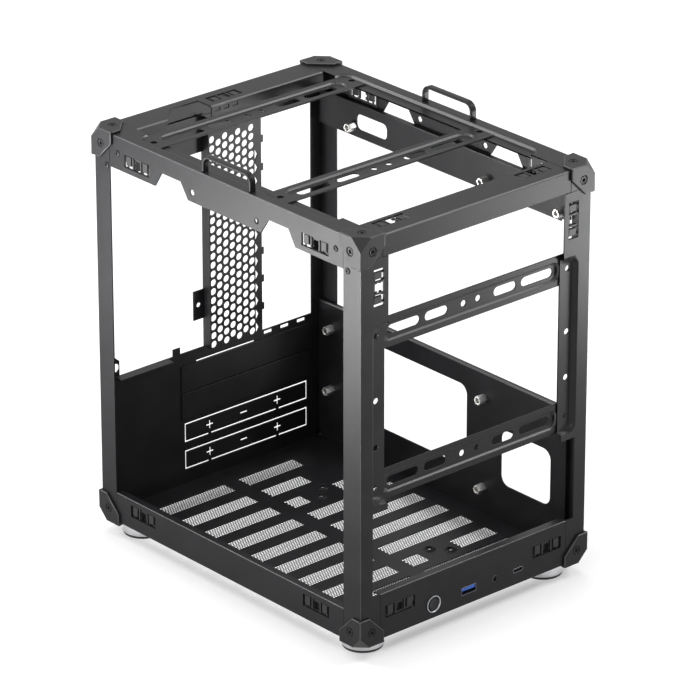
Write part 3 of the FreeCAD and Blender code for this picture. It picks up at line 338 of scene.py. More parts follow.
def rounded_distance(u, v, high_u, low_v, high_v, radius):
    """Distance outside a pocket that is open towards -u, with rounded corners at its far end; it is negative
    inside."""
    across = u - (high_u - radius)
    along = np.abs(v - (low_v + high_v) / 2) - ((high_v - low_v) / 2 - radius)
    outside = np.hypot(np.maximum(across, 0), np.maximum(along, 0))
    return outside + np.minimum(np.maximum(across, along), 0) - radius


# Pieces: a mesh with its finish, its rounded edges, its body and the CAD nodes that it stands for

EDGE_ANGLE, EDGE_STEPS = math.radians(40), 2


def rounded_edges(piece, width):
    """Bevel the sharp edges, and keep the faces beside them flat."""
    bevel = piece.modifiers.new("rounded_edges", "BEVEL")
    bevel.width = width * MM
    bevel.segments = EDGE_STEPS
    bevel.limit_method = "ANGLE"
    bevel.angle_limit = EDGE_ANGLE
    bevel.use_clamp_overlap = True
    flat = piece.modifiers.new("flat_faces", "WEIGHTED_NORMAL")
    flat.keep_sharp = True


def dress(name, mesh, slot, body, replaces, edge, crease):
    """Shade the mesh smooth up to the crease angle, and make it a piece that rides on its body."""
    mesh.shade_smooth()
    mesh.set_sharp_from_angle(angle=math.radians(crease))
    mesh.materials.clear()
    mesh.materials.append(FINISHES[slot])
    piece = bpy.data.objects.new(name, mesh)
    bpy.context.scene.collection.objects.link(piece)
    if edge:
        rounded_edges(piece, edge)
    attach(piece, body)
    if replaces:
        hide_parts(*replaces)


def add_piece(name, surface, slot, body=CASE, replaces=(), edge=0.0, crease=CREASE, painted_sheen=None):
    """Put the surface into a mesh and dress it; the painted sheen holds one value for each point, its share
    of painted highlight.
    """
    points, groups = surface
    mesh = bpy.data.meshes.new(name)
    mesh.from_pydata((points * MM).tolist(), [], [face for group in groups for face in group.tolist()])
    if painted_sheen is not None:
        mesh.attributes.new(PAINTED_SHEEN_ATTRIBUTE, "FLOAT", "POINT").data.foreach_set("value", np.asarray(painted_sheen, np.float32))
    mesh.validate()
    dress(name, mesh, slot, body, replaces, edge, crease)


# Sheet copies: the CAD sheet itself, merged from its loose triangles

MERGE, FLAT_ANGLE = 0.002, math.radians(0.5)
CUT_REACH, REGION_MARGIN = 1e-7, 0.01
FOLD_ANGLE, FOLD_LENGTH, FOLD_BREADTH = math.radians(40), 4.0, 1.5 * STEEL
FOLD_STEPS, ROUND_PROFILE = 3, 0.5


def take_out(work, regions, axes):
    """Cut the mesh along the limits of each region and take out all that lies inside the regions."""
    numbers = ["xyz".index(axis) for axis in axes]
    for column in range(4):
        normal = Vector([float(numbers[column // 2] == k) for k in range(3)])
        for limit in sorted({region[column] for region in regions}):
            everything = work.verts[:] + work.edges[:] + work.faces[:]
            bmesh.ops.bisect_plane(work, geom=everything, dist=CUT_REACH, plane_co=normal * limit * MM,
                                   plane_no=normal)
    middles = np.array([face.calc_center_median() for face in work.faces]) / MM
    u, v = middles[:, numbers].T[:, :, None]
    low_u, high_u, low_v, high_v = np.array(regions).T
    in_u = (u > low_u + REGION_MARGIN) & (u < high_u - REGION_MARGIN)
    in_v = (v > low_v + REGION_MARGIN) & (v < high_v - REGION_MARGIN)
    work.faces.ensure_lookup_table()
    inside = [work.faces[k] for k in np.flatnonzero((in_u & in_v).any(axis=1))]
    bmesh.ops.delete(work, geom=inside, context="FACES")


def is_fold(edge):
    """A fold is a long outer edge between two broad faces; twice a face's area over its perimeter is its
    breadth."""
    if len(edge.link_faces) != 2 or not edge.is_convex or edge.calc_face_angle(0.0) < FOLD_ANGLE:
        return False
    breadth = min(2 * face.calc_area() / face.calc_perimeter() for face in edge.link_faces)
    return edge.calc_length() > FOLD_LENGTH * MM and breadth > FOLD_BREADTH * MM


def sheet_copy(name, node, slot="frame_paint", edge=SHEET_EDGE, fold=FOLD, regions=(), axes="xy", lean=None):
    """The CAD sheet with its triangles merged, the regions taken out, flat areas joined, folds and cut edges
    rounded. Where lean gives a level, a front and a back line and a drop, the points above the level and
    between the lines are lowered by the drop, so that a flange leans."""
    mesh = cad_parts[node].data.copy()
    mesh.name = name
    work = bmesh.new()
    work.from_mesh(mesh)
    painted_sheen = work.faces.layers.float.new(PAINTED_SHEEN_ATTRIBUTE)
    bmesh.ops.remove_doubles(work, verts=work.verts, dist=MERGE * MM)
    if lean:
        level, front, back, drop = (length * MM for length in lean)
        leaning = [one for one in work.verts if one.co.z > level and front < one.co.y < back]
        bmesh.ops.translate(work, verts=leaning, vec=(0, 0, -drop))
    if regions:
        take_out(work, regions, axes)
    bmesh.ops.dissolve_limit(work, angle_limit=FLAT_ANGLE, verts=work.verts, edges=work.edges)
    if fold:
        folds = [one for one in work.edges if is_fold(one)]
        rounded = bmesh.ops.bevel(work, geom=folds, offset=fold * MM, offset_type="OFFSET", affect="EDGES",
                                  segments=FOLD_STEPS, profile=ROUND_PROFILE, clamp_overlap=True)
        # The rounded folds' faces get the full painted highlight
        for face in rounded["faces"]:
            face[painted_sheen] = 1.0
    work.to_mesh(mesh)
    work.free()
    dress(name, mesh, slot, CASE, [node], edge, CREASE)


# Folded sheet: rails, posts, trays and slot covers keep the CAD form, with rounded folds and cut edges

for node in ("top_rail_front", "top_rail_rear", "post_rear_left", "post_rear_right", "tray_upper",
             "tray_lower", "slot_cover_1", "slot_cover_2"):
    sheet_copy(f"{node}_sheet", node)


# Tray ends: each tray is turned outwards to the right front post, at the end of a short tail

POST_SIDE_FACE = 98.2
TRAY_ENDS = [  # heights, front of the end, front and back of the tail
    ((13.0, 115.0), -117.5, (-116.5, -114.9)),
    ((249.0, 270.5), -114.9, (-114.9, -109.1)),
]
ends = []
for heights, front, tail in TRAY_ENDS:
    ends.append(placed(plate([(TRAY_FACE, POST_SIDE_FACE, *heights)], (), front, front + STEEL), "xzy"))
    ends.append(placed(plate([(*tail, *heights)], (), TRAY_FACE, TRAY_FACE + STEEL), "yzx"))
add_piece("tray_ends", joined(ends), "frame_paint", edge=SMALL_EDGE)


# Side rails and front posts: the CAD sheet with its pressed pockets drawn out as smooth, round-cornered steps

RAIL_AREA, RAIL_POCKET = (81.2, 97.4, -112.0, 113.0), (90.55, -93.5, 98.0)
RAIL_SINK, RAIL_RADIUS, RAIL_RUN = 2.2, 8.0, 0.9
POST_AREA, POST_POCKET = (76.0, 98.0, 103.0, 238.0), (87.7, 107.5, 231.5)
POST_SINK, POST_RADIUS, POST_RUN = 3.7, 6.5, 1.3
POST_HOLES = [(FAN_SCREW_X, z) for z in (FRONT_BRACKETS["upper"], 178.6, 146.1, FRONT_BRACKETS["lower"])]
POST_CELL = (6.4, 6.4)
FINE_ACROSS, FINE_ALONG = 28, 36
# The pads' slopes get only a small share of the painted highlight, so the pocket's wall stays dark
PAD_PAINTED_SHEEN = 0.15


def pocket_sheet(area, pocket, sink, radius, run, holes=()):
    """Sheet on a grid that is fine near the pocket's rim; its height is a smooth step of the distance to that
    rim, and its painted-highlight share is that step's slope."""
    far_u, low_v, high_v = pocket
    fine_u = np.linspace(far_u - radius, min(far_u + 2 * run, area[1]), FINE_ACROSS)
    fine_v = np.concatenate([np.linspace(v - radius - run, v + radius + run, FINE_ALONG)
                             for v in (low_v, high_v)])
    fine_v = fine_v[(fine_v > area[2]) & (fine_v < area[3])]
    cells = [around(u, v, *POST_CELL) for u, v in holes]
    for cell in cells:
        fine_u = fine_u[(fine_u <= cell[0]) | (fine_u >= cell[1])]
        fine_v = fine_v[(fine_v <= cell[2]) | (fine_v >= cell[3])]
    surfaces = [plate([area], (), 0, STEEL, cells, fine_u, fine_v)]
    if holes:
        surfaces.append(pierced(holes, POST_CELL, (SCREW_HOLE, SCREW_HOLE), 0, STEEL, HOLE_STEPS))
    points, groups = joined(surfaces)
    step = ease(rounded_distance(points[:, 0], points[:, 1], far_u, low_v, high_v, radius), -run, run)
    points[:, 2] += sink * step
    return points, groups, slope(step)


def on_side(side, area):
    """The area's limits on the left or the right side of the case."""
    return (*sorted((side * area[0], side * area[1])), *area[2:])


for side, side_name in SIDES:
    sheet_copy(f"rail_{side_name}_sheet", f"top_rail_{side_name}", regions=[on_side(side, RAIL_AREA)])
    points, groups, painted_sheen = pocket_sheet(RAIL_AREA, RAIL_POCKET, RAIL_SINK, RAIL_RADIUS, RAIL_RUN)
    u, v, w = points.T
    flange = np.column_stack([side * u, v, FRAME_TOP - w])
    add_piece(f"rail_{side_name}_flange", outward((flange, groups)), "frame_paint", crease=SOFT_CREASE,
              painted_sheen=painted_sheen)
    sheet_copy(f"post_{side_name}_sheet", f"post_front_{side_name}", regions=[on_side(side, POST_AREA)],
               axes="xz")
    points, groups, painted_sheen = pocket_sheet(POST_AREA, POST_POCKET, POST_SINK, POST_RADIUS, POST_RUN, POST_HOLES)
    u, v, w = points.T
    pad = np.column_stack([side * u, w - FRAME_Y, v])
    add_piece(f"post_{side_name}_pad", outward((pad, groups)), "frame_paint", crease=SOFT_CREASE,
              painted_sheen=PAD_PAINTED_SHEEN * painted_sheen)


# Perforated sheet: the CAD form with plain openings, into which true perforation is set


def field_centres(region, pitch, row_depth):
    """Middles of staggered holes in one field, and the half cells that close every second row."""
    low_u, high_u, low_v, high_v = region
    count, rows = round((high_u - low_u) / pitch), round((high_v - low_v) / row_depth)
    step, depth = (high_u - low_u) / count, (high_v - low_v) / rows
    even = low_u + step * (np.arange(count) + 0.5)
    odd = low_u + step * np.arange(1, count)
    levels = low_v + depth * (np.arange(rows) + 0.5)
    centres = [np.column_stack([even if row % 2 == 0 else odd, np.full(count - row % 2, v)])
               for row, v in enumerate(levels)]
    ends = [(u, u + step / 2, v - depth / 2, v + depth / 2)
            for v in levels[1::2] for u in (low_u, high_u - step / 2)]
    return np.concatenate(centres), (step, depth), ends


def perforation(regions, pitch, row_depth, hole, low, high, steps):
    """Staggered round holes for several fields: pierced cells, and small solid cells at the row ends."""
    surfaces = []
    for region in regions:
        centres, cell, ends = field_centres(region, pitch, row_depth)
        surfaces += [pierced(centres, cell, (hole, hole), low, high, steps), plate(ends, (), low, high)]
    return joined(surfaces)


# Floor: rows of perforated fields, counted from the rear, and raised rims round four holes

FIELD_REAR, FIELD_PITCH, FIELD_DEPTH = 112.9, 23.9, 14.0
LAST_ROW, LAST_ROW_EXTRA = 9, 2.0
LEFT_SPAN, RIGHT_SPAN = (-80.8, -8.0), (3.6, 80.8)
PARTED_SPANS = [(3.6, 19.2), (47.0, 80.8)]
SPECIAL_ROWS = {1: [(3.6, 54.0)], 2: [(3.6, 40.4)], 3: PARTED_SPANS, 8: PARTED_SPANS}
MESH_PITCH, MESH_ROW, MESH_HOLE, MESH_THICK = 2.0, 1.75, 1.62, 0.15
FRONT_FLANGE = (42.0, -125.0, -124.0, 0.8)
RIMS = [(39.0, 63.1), (29.0, 53.1), (29.0, -56.4), (39.0, -66.4)]
RIM_LIP = [(2.35, -1.0), (2.35, 0.9), (2.5, 1.15), (2.8, 1.25), (3.1, 1.15), (3.6, 0.3), (4.2, 0.0),
           (4.2, -0.5)]


def field(row, span):
    """Limits of a field: each row lies one pitch before the one behind it, and the last is deeper."""
    rear = FIELD_REAR - FIELD_PITCH * (row - 1)
    return (*span, rear - FIELD_DEPTH, rear + (LAST_ROW_EXTRA if row == LAST_ROW else 0.0))


rows = range(1, LAST_ROW + 1)
fields = {
    "left": [field(row, LEFT_SPAN) for row in rows],
    "right": [field(row, span) for row in rows for span in SPECIAL_ROWS.get(row, [RIGHT_SPAN])],
}
sheet_copy("floor_sheet", "floor_pan", regions=fields["left"] + fields["right"], lean=FRONT_FLANGE)
mesh_levels = (FLOOR_TOP - MESH_THICK, FLOOR_TOP)
for side_name, regions in fields.items():
    mesh_sheet = perforation(regions, MESH_PITCH, MESH_ROW, MESH_HOLE, *mesh_levels, steps=6)
    add_piece(f"floor_mesh_{side_name}", mesh_sheet, "frame_paint")
rims = [turned(RIM_LIP, (x, y, FLOOR_TOP), "z", steps=32) for x, y in RIMS]
add_piece("floor_rims", joined(rims), "frame_paint")


# Rear panel: the vent's holes, in columns that run upwards, and the strip above the power-supply opening

VENT = (-2.9, 37.35, 105.2, 261.2)
VENT_COLUMN, VENT_PITCH, VENT_HOLE = 5.75, 6.5, 5.2
REAR_STRIP, STRIP_FACE = [(-84.0, -7.5, 262.0, 279.0), (-68.0, -7.5, 252.5, 262.0)], 129.45

sheet_copy("rear_sheet", "rear_panel", regions=[VENT], axes="xz")
upright_vent = (*VENT[2:], *VENT[:2])
vent = perforation([upright_vent], VENT_PITCH, VENT_COLUMN, VENT_HOLE, FRAME_Y - STEEL, FRAME_Y, steps=20)
add_piece("rear_vent", placed(vent, "zxy"), "frame_paint")
strip = plate(REAR_STRIP, (), STRIP_FACE, STRIP_FACE + STEEL)
add_piece("rear_strip", outward(placed(strip, "xzy")), "frame_paint", edge=SMALL_EDGE)


# Corner blocks: three six-sided plates, each spread from its screw to its rim, and a flat facet between them

BLOCK_X, BLOCK_Y, BLOCK_HEIGHTS = 101.0, 133.3, {"top": 294.5, "bottom": 9.5}
BLOCK_SIDE, BLOCK_WALL, BLOCK_FACET, BLOCK_CUT = 20.7, 1.8, 8.6, 12.3
BLOCK_NEAR = BLOCK_SIDE - BLOCK_CUT
PLATE = np.array([(BLOCK_FACET, 0), (BLOCK_SIDE, 0), (BLOCK_SIDE, BLOCK_NEAR), (BLOCK_NEAR, BLOCK_SIDE),
                  (0, BLOCK_SIDE), (0, BLOCK_FACET)])
MEETING_SIDES, FACET_SIDE = (0, 4), 5
SCREW_SPOT = np.array([10.2, 10.2])
SCREW_RINGS = [(0.05, 1.3), (1.0, 1.2), (1.25, 0.35), (1.5, 0.25), (2.3, 0.3), (2.45, 0.75), (2.7, 0.75),
               (3.3, 0.0), (3.6, 0.0)]
# The facet gets a part of the painted highlight, which makes it lighter than its own coat
RIM_ROUND, FACET_ROUND, FLAT_EDGE, FACET_PAINTED_SHEEN = 0.7, 0.02, 0.15, 0.3
PLATE_STEPS, RIM_STEPS = 48, 5


def plate_rays():
    """Directions from the screw to the plate's rim, its corners among them, with the reach and the side that
    each meets: a ray meets a side's line where their cross products agree, and the nearest line counts."""
    start, edge = PLATE - SCREW_SPOT, np.roll(PLATE, -1, axis=0) - PLATE
    even = np.linspace(-math.pi, math.pi, PLATE_STEPS, endpoint=False)
    corners = np.arctan2(start[:, 1], start[:, 0])
    angle = np.unique(np.round(np.concatenate([even, corners]), ANGLE_DIGITS))
    ray = np.stack([np.cos(angle), np.sin(angle)], axis=-1)
    cross = ray[:, None, 0] * edge[None, :, 1] - ray[:, None, 1] * edge[None, :, 0]
    cross = np.where(np.abs(cross) < TINY, TINY, cross)
    reach = (start[:, 0] * edge[:, 1] - start[:, 1] * edge[:, 0])[None] / cross
    reach = np.where(reach > 0, reach, np.inf)
    return ray, reach.min(axis=1), reach.argmin(axis=1)


def block_plate():
    """Rings from the screw's middle to the rim: screw recess, head, countersink, flat, rounded rim, inner
    edge. A ring is given by its distance from the screw, or by how far it stays inside the rim, and by its
    depth. Where two plates meet, each rounds half of the edge and is mitred behind it."""
    ray, reach, side = plate_rays()
    ones = np.ones(len(ray))
    round_off = np.where(side == FACET_SIDE, FACET_ROUND, RIM_ROUND)
    mitred = np.isin(side, MEETING_SIDES)
    rings = [(radius * ones, depth * ones) for radius, depth in SCREW_RINGS]
    rings.append((reach - round_off - FLAT_EDGE, 0 * ones))
    turns = [share * np.where(mitred, math.pi / 4, math.pi / 2) for share in np.linspace(0, 1, RIM_STEPS)]
    rings += [(reach - round_off * (1 - np.sin(turn)), round_off * (1 - np.cos(turn))) for turn in turns]
    rings.append((np.where(mitred, reach - BLOCK_WALL, reach), BLOCK_WALL * ones))
    spots = [np.column_stack([SCREW_SPOT + ray * radius[:, None], depth]) for radius, depth in rings]
    on_rim = np.arange(len(rings)) - len(SCREW_RINGS) - 1
    # The rim's rounded rings get the painted highlight
    painted_sheen = np.repeat(((on_rim > 0) & (on_rim < RIM_STEPS - 1)).astype(float), len(ray))
    middle = np.arange(len(ray))[None]
    return np.concatenate(spots), [wrapped(len(rings), len(ray)), middle], painted_sheen


def corner_block(side, end, level, height):
    """Distances from the block's corner turned into places; the three plates use the axes in turn."""
    corner = np.array([side * BLOCK_X, end * BLOCK_Y, height])
    inward = -np.array([side, end, level], float)
    points, groups, painted_sheen = block_plate()
    facet = np.array([[2, 1, 0]])
    if side * end * level > 0:
        groups, facet = [faces[:, ::-1] for faces in groups], facet[:, ::-1]
    surfaces = [(corner + inward * points[:, order], groups) for order in ((2, 0, 1), (1, 2, 0), (0, 1, 2))]
    surfaces.append((corner + inward * np.eye(3) * BLOCK_FACET, [facet]))
    return stacked(surfaces), np.concatenate([painted_sheen, painted_sheen, painted_sheen, np.full(3, FACET_PAINTED_SHEEN)])


for level, level_name in LEVELS:
    for end, end_name in ENDS:
        for side, side_name in SIDES:
            place = f"{level_name}_{end_name}_{side_name}"
            surface, painted_sheen = corner_block(side, end, level, BLOCK_HEIGHTS[level_name])
            add_piece(f"block_{place}", surface, "block_paint", replaces=[f"corner_block_{place}"],
                      crease=BLOCK_CREASE, painted_sheen=painted_sheen)


# Small screws beside the top blocks: two on each side, in the rail and in the post

SIDE_SCREWS = ((107.8, 281.1), (119.3, 269.6))
SCREW_HEAD = [(0.03, 0.1), (0.85, 0.1), (1.0, 0.62), (1.6, 0.6), (2.05, 0.4), (2.25, 0.0)]

screws = [turned(SCREW_HEAD, (side * FRAME_X, end * y, z), "x" if side > 0 else "-x", steps=24)
          for side, _ in SIDES for end, _ in ENDS for y, z in SIDE_SCREWS]
add_piece("side_screws", joined(screws), "block_paint")


# Fan brackets: a strip with a sunk middle band, its slots and holes cut in that band

BRACKET_HALF, BAND_FLAT, BAND_EDGE, BAND_SINK = 10.75, 5.6, 6.9, 1.5
SLOTS, SLOT_WIDTH, SLOT_MARGIN, SLOT_STEPS = [(57.75, 27.5), (29.7, 19.4)], 6.6, 2.0, 28
MIDDLE_HOLE, HOLE_CELL, CELL_WIDTH = 6.3, 6.0, 9.0
FRONT_REACH, FRONT_BAND_END, FRONT_SEAT = 86.5, 77.0, -126.8
TOP_REACH, TOP_SCREW_X, TOP_BAND_END, TOP_SEAT = 89.1, 85.9, 79.0, 291.5
TOP_BRACKETS = {"rear": 86.3, "front": -39.7}
EDGE_LINES, BAND_LINES, END_LINES = 6, 9, 22


def bracket(reach, screw_x, band_end):
    """Strip on a grid with round-ended slots set in; its middle band sinks by a smooth step of the distance
    from the band's centre line, so that the band's ends are round."""
    openings = [(middle, (length + SLOT_MARGIN, CELL_WIDTH), (length, SLOT_WIDTH), SLOT_STEPS)
                for middle, length in SLOTS]
    openings += [(x, (HOLE_CELL, CELL_WIDTH), (SCREW_HOLE, SCREW_HOLE), HOLE_STEPS)
                 for x in (MIDDLE_HOLE, screw_x)]
    cells, surfaces = [], []
    for sign in (-1, 1):
        for middle, cell, hole, steps in openings:
            surfaces.append(pierced([(sign * middle, 0)], cell, hole, 0, STEEL, steps))
            cells.append(around(sign * middle, 0, *cell))
    edges = np.linspace(BAND_FLAT, BAND_EDGE, EDGE_LINES)
    rows = np.concatenate([-edges, np.linspace(-CELL_WIDTH / 2, CELL_WIDTH / 2, BAND_LINES), edges])
    ends = np.linspace(band_end - BAND_EDGE, band_end, END_LINES)
    strip = (-reach, reach, -BRACKET_HALF, BRACKET_HALF)
    surfaces.append(plate([strip], (), 0, STEEL, cells, np.concatenate([-ends, ends]), rows))
    points, groups = joined(surfaces)
    past_end = np.maximum(np.abs(points[:, 0]) - (band_end - BAND_EDGE), 0)
    step = ease(np.hypot(past_end, points[:, 1]), BAND_FLAT, BAND_EDGE)
    points[:, 2] += BAND_SINK * step
    # The band's slopes carry the painted highlight, in the share of the step's slope
    return points.T, [faces[:, ::-1] for faces in groups], slope(step)


for place, height in FRONT_BRACKETS.items():
    (u, v, w), groups, painted_sheen = bracket(FRONT_REACH, FAN_SCREW_X, FRONT_BAND_END)
    spots = np.column_stack([u, w + FRONT_SEAT, v + height])
    add_piece(f"front_bracket_{place}", (spots, groups), "frame_paint",
              replaces=[f"front_fan_bracket_{place}"], edge=SMALL_EDGE, painted_sheen=painted_sheen)
for place, y in TOP_BRACKETS.items():
    (u, v, w), groups, painted_sheen = bracket(TOP_REACH, TOP_SCREW_X, TOP_BAND_END)
    spots = np.column_stack([u, v + y, TOP_SEAT - w])
    add_piece(f"top_bracket_{place}", (spots, groups), "frame_paint",
              replaces=[f"top_fan_bracket_{place}"], edge=SMALL_EDGE, painted_sheen=painted_sheen)


# Spring clips: a plate behind the window, open at its ends, its low side and its eye, with leaves and bars

CLIP_PLATE, CLIP_LEVELS = [(-14.4, 14.4, -5.9, 5.9)], (STEEL, STEEL + 0.6)
CLIP_EYE = [(-2.4, 2.4, -3.0, 2.5), (-3.6, 3.6, -0.8, 0.8)]
CLIP_SLITS = [*pair(10.9, 12.8, -4.3, 4.3), *pair(5.6, 9.2, -4.3, -2.5), (-4.2, 4.2, -4.3, -3.0),
              *pair(4.6, 5.6, -2.6, 2.2)]
CLIP_LEAVES, LEAF_LEVELS = pair(6.0, 10.7, -2.3, 3.9), (0.1, STEEL)
CLIP_BARS, BAR_LEVELS = pair(3.3, 4.5, -3.7, 4.2), (0.15, STEEL)
CLIP_BACK, BACK_LEVELS = [(-13.0, 13.0, -4.6, 4.6)], (3.2, 3.8)
SIDE_CLIP_Y, SIDE_CLIPS = 88.1, ((277.8, False), (24.8, True))
WALL_CLIP_X, WALL_CLIP_Z = 65.0, 29.7
POST_CLIP_X, POST_CLIP_Z = 84.0, 257.8
TOP_CLIPS = ((-61.0, -116.7), (61.0, -116.7), (1.5, 119.5))


def clip(place, order, facing, upright=False, flip=1, backed=False):
    """Flat sheets in the clip's own (length, width, depth), then put in the wall's plane at the window's
    place."""
    sheets = [plate(CLIP_PLATE, CLIP_EYE + CLIP_SLITS, *CLIP_LEVELS), plate(CLIP_LEAVES, (), *LEAF_LEVELS),
              plate(CLIP_BARS, (), *BAR_LEVELS)]
    if backed:
        sheets.append(plate(CLIP_BACK, (), *BACK_LEVELS))
    points, groups = joined(sheets)
    u, v, w = points[:, 0], flip * points[:, 1], -facing * points[:, 2]
    own = np.column_stack([v, u, w] if upright else [u, v, w])
    spots, groups = placed((own, groups), order)
    return outward((spots + np.asarray(place), groups))


clips = [clip((side * FRAME_X, end * SIDE_CLIP_Y, z), "yzx", side, backed=backed)
         for side, _ in SIDES for end, _ in ENDS for z, backed in SIDE_CLIPS]
clips += [clip((side * WALL_CLIP_X, -FRAME_Y, WALL_CLIP_Z), "xzy", -1, backed=True) for side, _ in SIDES]
clips += [clip((side * POST_CLIP_X, -FRAME_Y, POST_CLIP_Z), "xzy", -1, upright=True, flip=-1)
          for side, _ in SIDES]
clips += [clip((x, y, FRAME_TOP), "xyz", 1, flip=-1) for x, y in TOP_CLIPS]
add_piece("clip_set", joined(clips), "clip_black", replaces=["panel_clips"], edge=SMALL_EDGE)


# Strap loops: a flat bar with rounded edges, carried round two bends

LOOP_X, LOOP_HALF, LOOP_TOP, LOOP_BEND = 95.2, 23.2, 303.8, 5.5
LOOP_WIDTH, LOOP_THICK, LOOP_ROUND = 4.7, 2.0, 0.6
ROUND_STEPS, BEND_STEPS = 5, 13


def rounded_bar():
    """Section of the flat bar: quarter circles round its four corners."""
    quarter = np.linspace(0, math.pi / 2, ROUND_STEPS)
    angle = np.concatenate([quarter + turn * math.pi / 2 for turn in range(4)])
    shift_x = np.repeat([1, -1, -1, 1], ROUND_STEPS) * (LOOP_WIDTH / 2 - LOOP_ROUND)
    shift_y = np.repeat([1, 1, -1, -1], ROUND_STEPS) * (LOOP_THICK / 2 - LOOP_ROUND)
    return np.column_stack([shift_x + LOOP_ROUND * np.cos(angle), shift_y + LOOP_ROUND * np.sin(angle)])


def loop_path(x):
    """A straight leg and a quarter circle, then the same mirrored in the loop's middle."""
    turn = np.linspace(0, math.pi / 2, BEND_STEPS)
    y = np.concatenate([[-LOOP_HALF], -LOOP_HALF + LOOP_BEND - LOOP_BEND * np.cos(turn)])
    z = np.concatenate([[FRAME_TOP], LOOP_TOP - LOOP_BEND + LOOP_BEND * np.sin(turn)])
    y, z = np.concatenate([y, -y[::-1]]), np.concatenate([z, z[::-1]])
    return np.column_stack([np.full(len(y), x), y, z])


straps = [carried(rounded_bar(), loop_path(side * LOOP_X), (1, 0, 0)) for side, _ in SIDES]
add_piece("loop_straps", joined(straps), "frame_paint", replaces=["strap_loops"], crease=SOFT_CREASE)


# Standoffs: six-sided pillars with a blind bore

PILLAR_FLAT, PILLAR_BORE, PILLAR_TIP, BORE_END, BORE_POINT = 2.8, 1.8, 88.0, 94.0, 0.05
TIP_CHAMFER, TIP_SHARE, BORE_FLARE, FLARE_DEPTH, PILLAR_STEPS = 0.35, 0.95, 0.25, 0.3, 36
STANDOFFS = [(94.14, 254.5), (-37.94, 254.5), (-110.4, 254.5), (117.0, 97.02), (-37.94, 97.02), (117.0, 51.3),
             (-37.94, 31.0)]


def pillar(y, z):
    """Rings along X, from the foot over the tip into the bore; a six-sided ring's radius is the distance of
    its flats divided by the cosine of the angle from the nearest flat's middle."""
    angle = np.linspace(0, 2 * math.pi, PILLAR_STEPS, endpoint=False)
    six_sided = PILLAR_FLAT / np.cos((angle % (math.pi / 3)) - math.pi / 6)
    rings = [(six_sided, TRAY_FACE), (six_sided, PILLAR_TIP + TIP_CHAMFER),
             (TIP_SHARE * six_sided, PILLAR_TIP), (PILLAR_BORE + BORE_FLARE, PILLAR_TIP),
             (PILLAR_BORE, PILLAR_TIP + FLARE_DEPTH), (PILLAR_BORE, BORE_END), (BORE_POINT, BORE_END)]
    spots = [np.column_stack([np.full(len(angle), x), y + radius * np.cos(angle), z + radius * np.sin(angle)])
             for radius, x in rings]
    return np.concatenate(spots), [wrapped(len(rings), len(angle))]


pillars = [pillar(y, z) for y, z in STANDOFFS]
add_piece("pillars", joined(pillars), "standoff_nickel", replaces=["board_standoffs"])


# Power button and ports: round pieces are turned about an axis that runs out of the front wall

PORT_Z, BUTTON_X, AUDIO_X = 21.7, -36.1, 18.4
BEZEL = [(4.35, -0.6), (4.8, -0.5), (5.15, 0.75), (5.35, 0.95), (5.7, 0.95), (5.9, 0.8), (6.0, 0.4),
         (6.0, 0.0)]
CAP = [(0.03, 0.30), (1.2, 0.34), (3.0, 0.58), (3.6, 0.68), (3.85, 0.66), (4.05, 0.45), (4.05, -3.9),
       (0.03, -3.9)]
BARREL = [(1.8, -9.0), (1.8, -0.5), (1.95, 0.0), (2.6, 0.0), (2.8, -0.2), (2.8, -11.0), (0.05, -11.0),
          (0.05, -9.0)]
CONTACT = [(1.78, -5.0), (1.78, -2.2), (1.5, -2.2), (1.5, -5.0)]
TONGUE, TONGUE_LEVELS = [(-10.75, 1.35, 21.6, 24.2)], (-130.9, -117.5)


def in_wall(profile, x, steps):
    """The profile turned about the port line's axis at x."""
    return turned(profile, (x, -FRAME_Y, PORT_Z), "-y", steps)


add_piece("button_bezel", in_wall(BEZEL, BUTTON_X, steps=64), "button_ring", replaces=["power_button_bezel"])
add_piece("button_cap", in_wall(CAP, BUTTON_X, steps=64), "button_black", body=BUTTON,
          replaces=["power_button_cap"])
add_piece("audio_socket", in_wall(BARREL, AUDIO_X, steps=40), "port_black", replaces=["audio_jack"])
tongue = outward(placed(plate(TONGUE, (), *TONGUE_LEVELS), "xzy"))
add_piece("usb_a_insert", tongue, "tongue_blue", replaces=["usb_a_tongue"], edge=FINE_EDGE)
add_piece("audio_contact", in_wall(CONTACT, AUDIO_X, steps=40), "standoff_nickel")
for node, slot in (("usb_a_shell", "shell_steel"), ("usb_c_shell", "shell_steel"),
                   ("usb_c_tongue", "port_black"), ("power_switch_body", "port_black"),
                   ("io_board", "board_green")):
    sheet_copy(f"{node}_finished", node, slot, edge=FINE_EDGE, fold=0.0)


# Feet: a bright disc on a rubber pad

FOOT_X, FOOT_Y = 80.0, 112.0
DISC = [(0.05, 1.6), (13.4, 1.6), (13.9, 2.0), (14.0, 2.4), (14.0, 8.8), (13.8, 9.3), (13.4, 9.5),
        (0.05, 9.5)]
PAD = [(0.05, 0.0), (12.9, 0.0), (13.3, 0.15), (13.5, 0.5), (13.5, 1.6), (0.05, 1.6)]


def at_feet(profile, steps):
    """The profile turned about the upright axis of each foot."""
    return joined([turned(profile, (side * FOOT_X, end * FOOT_Y, 0), "z", steps)
                   for side, _ in SIDES for end, _ in ENDS])


add_piece("foot_discs", at_feet(DISC, steps=64), "foot_chrome", replaces=["foot_rings"])
add_piece("foot_rubbers", at_feet(PAD, steps=48), "foot_rubber", replaces=["foot_pads"])


# Stage: pale floor that keeps the shadow, white surround, soft light mostly from the open side, in metres

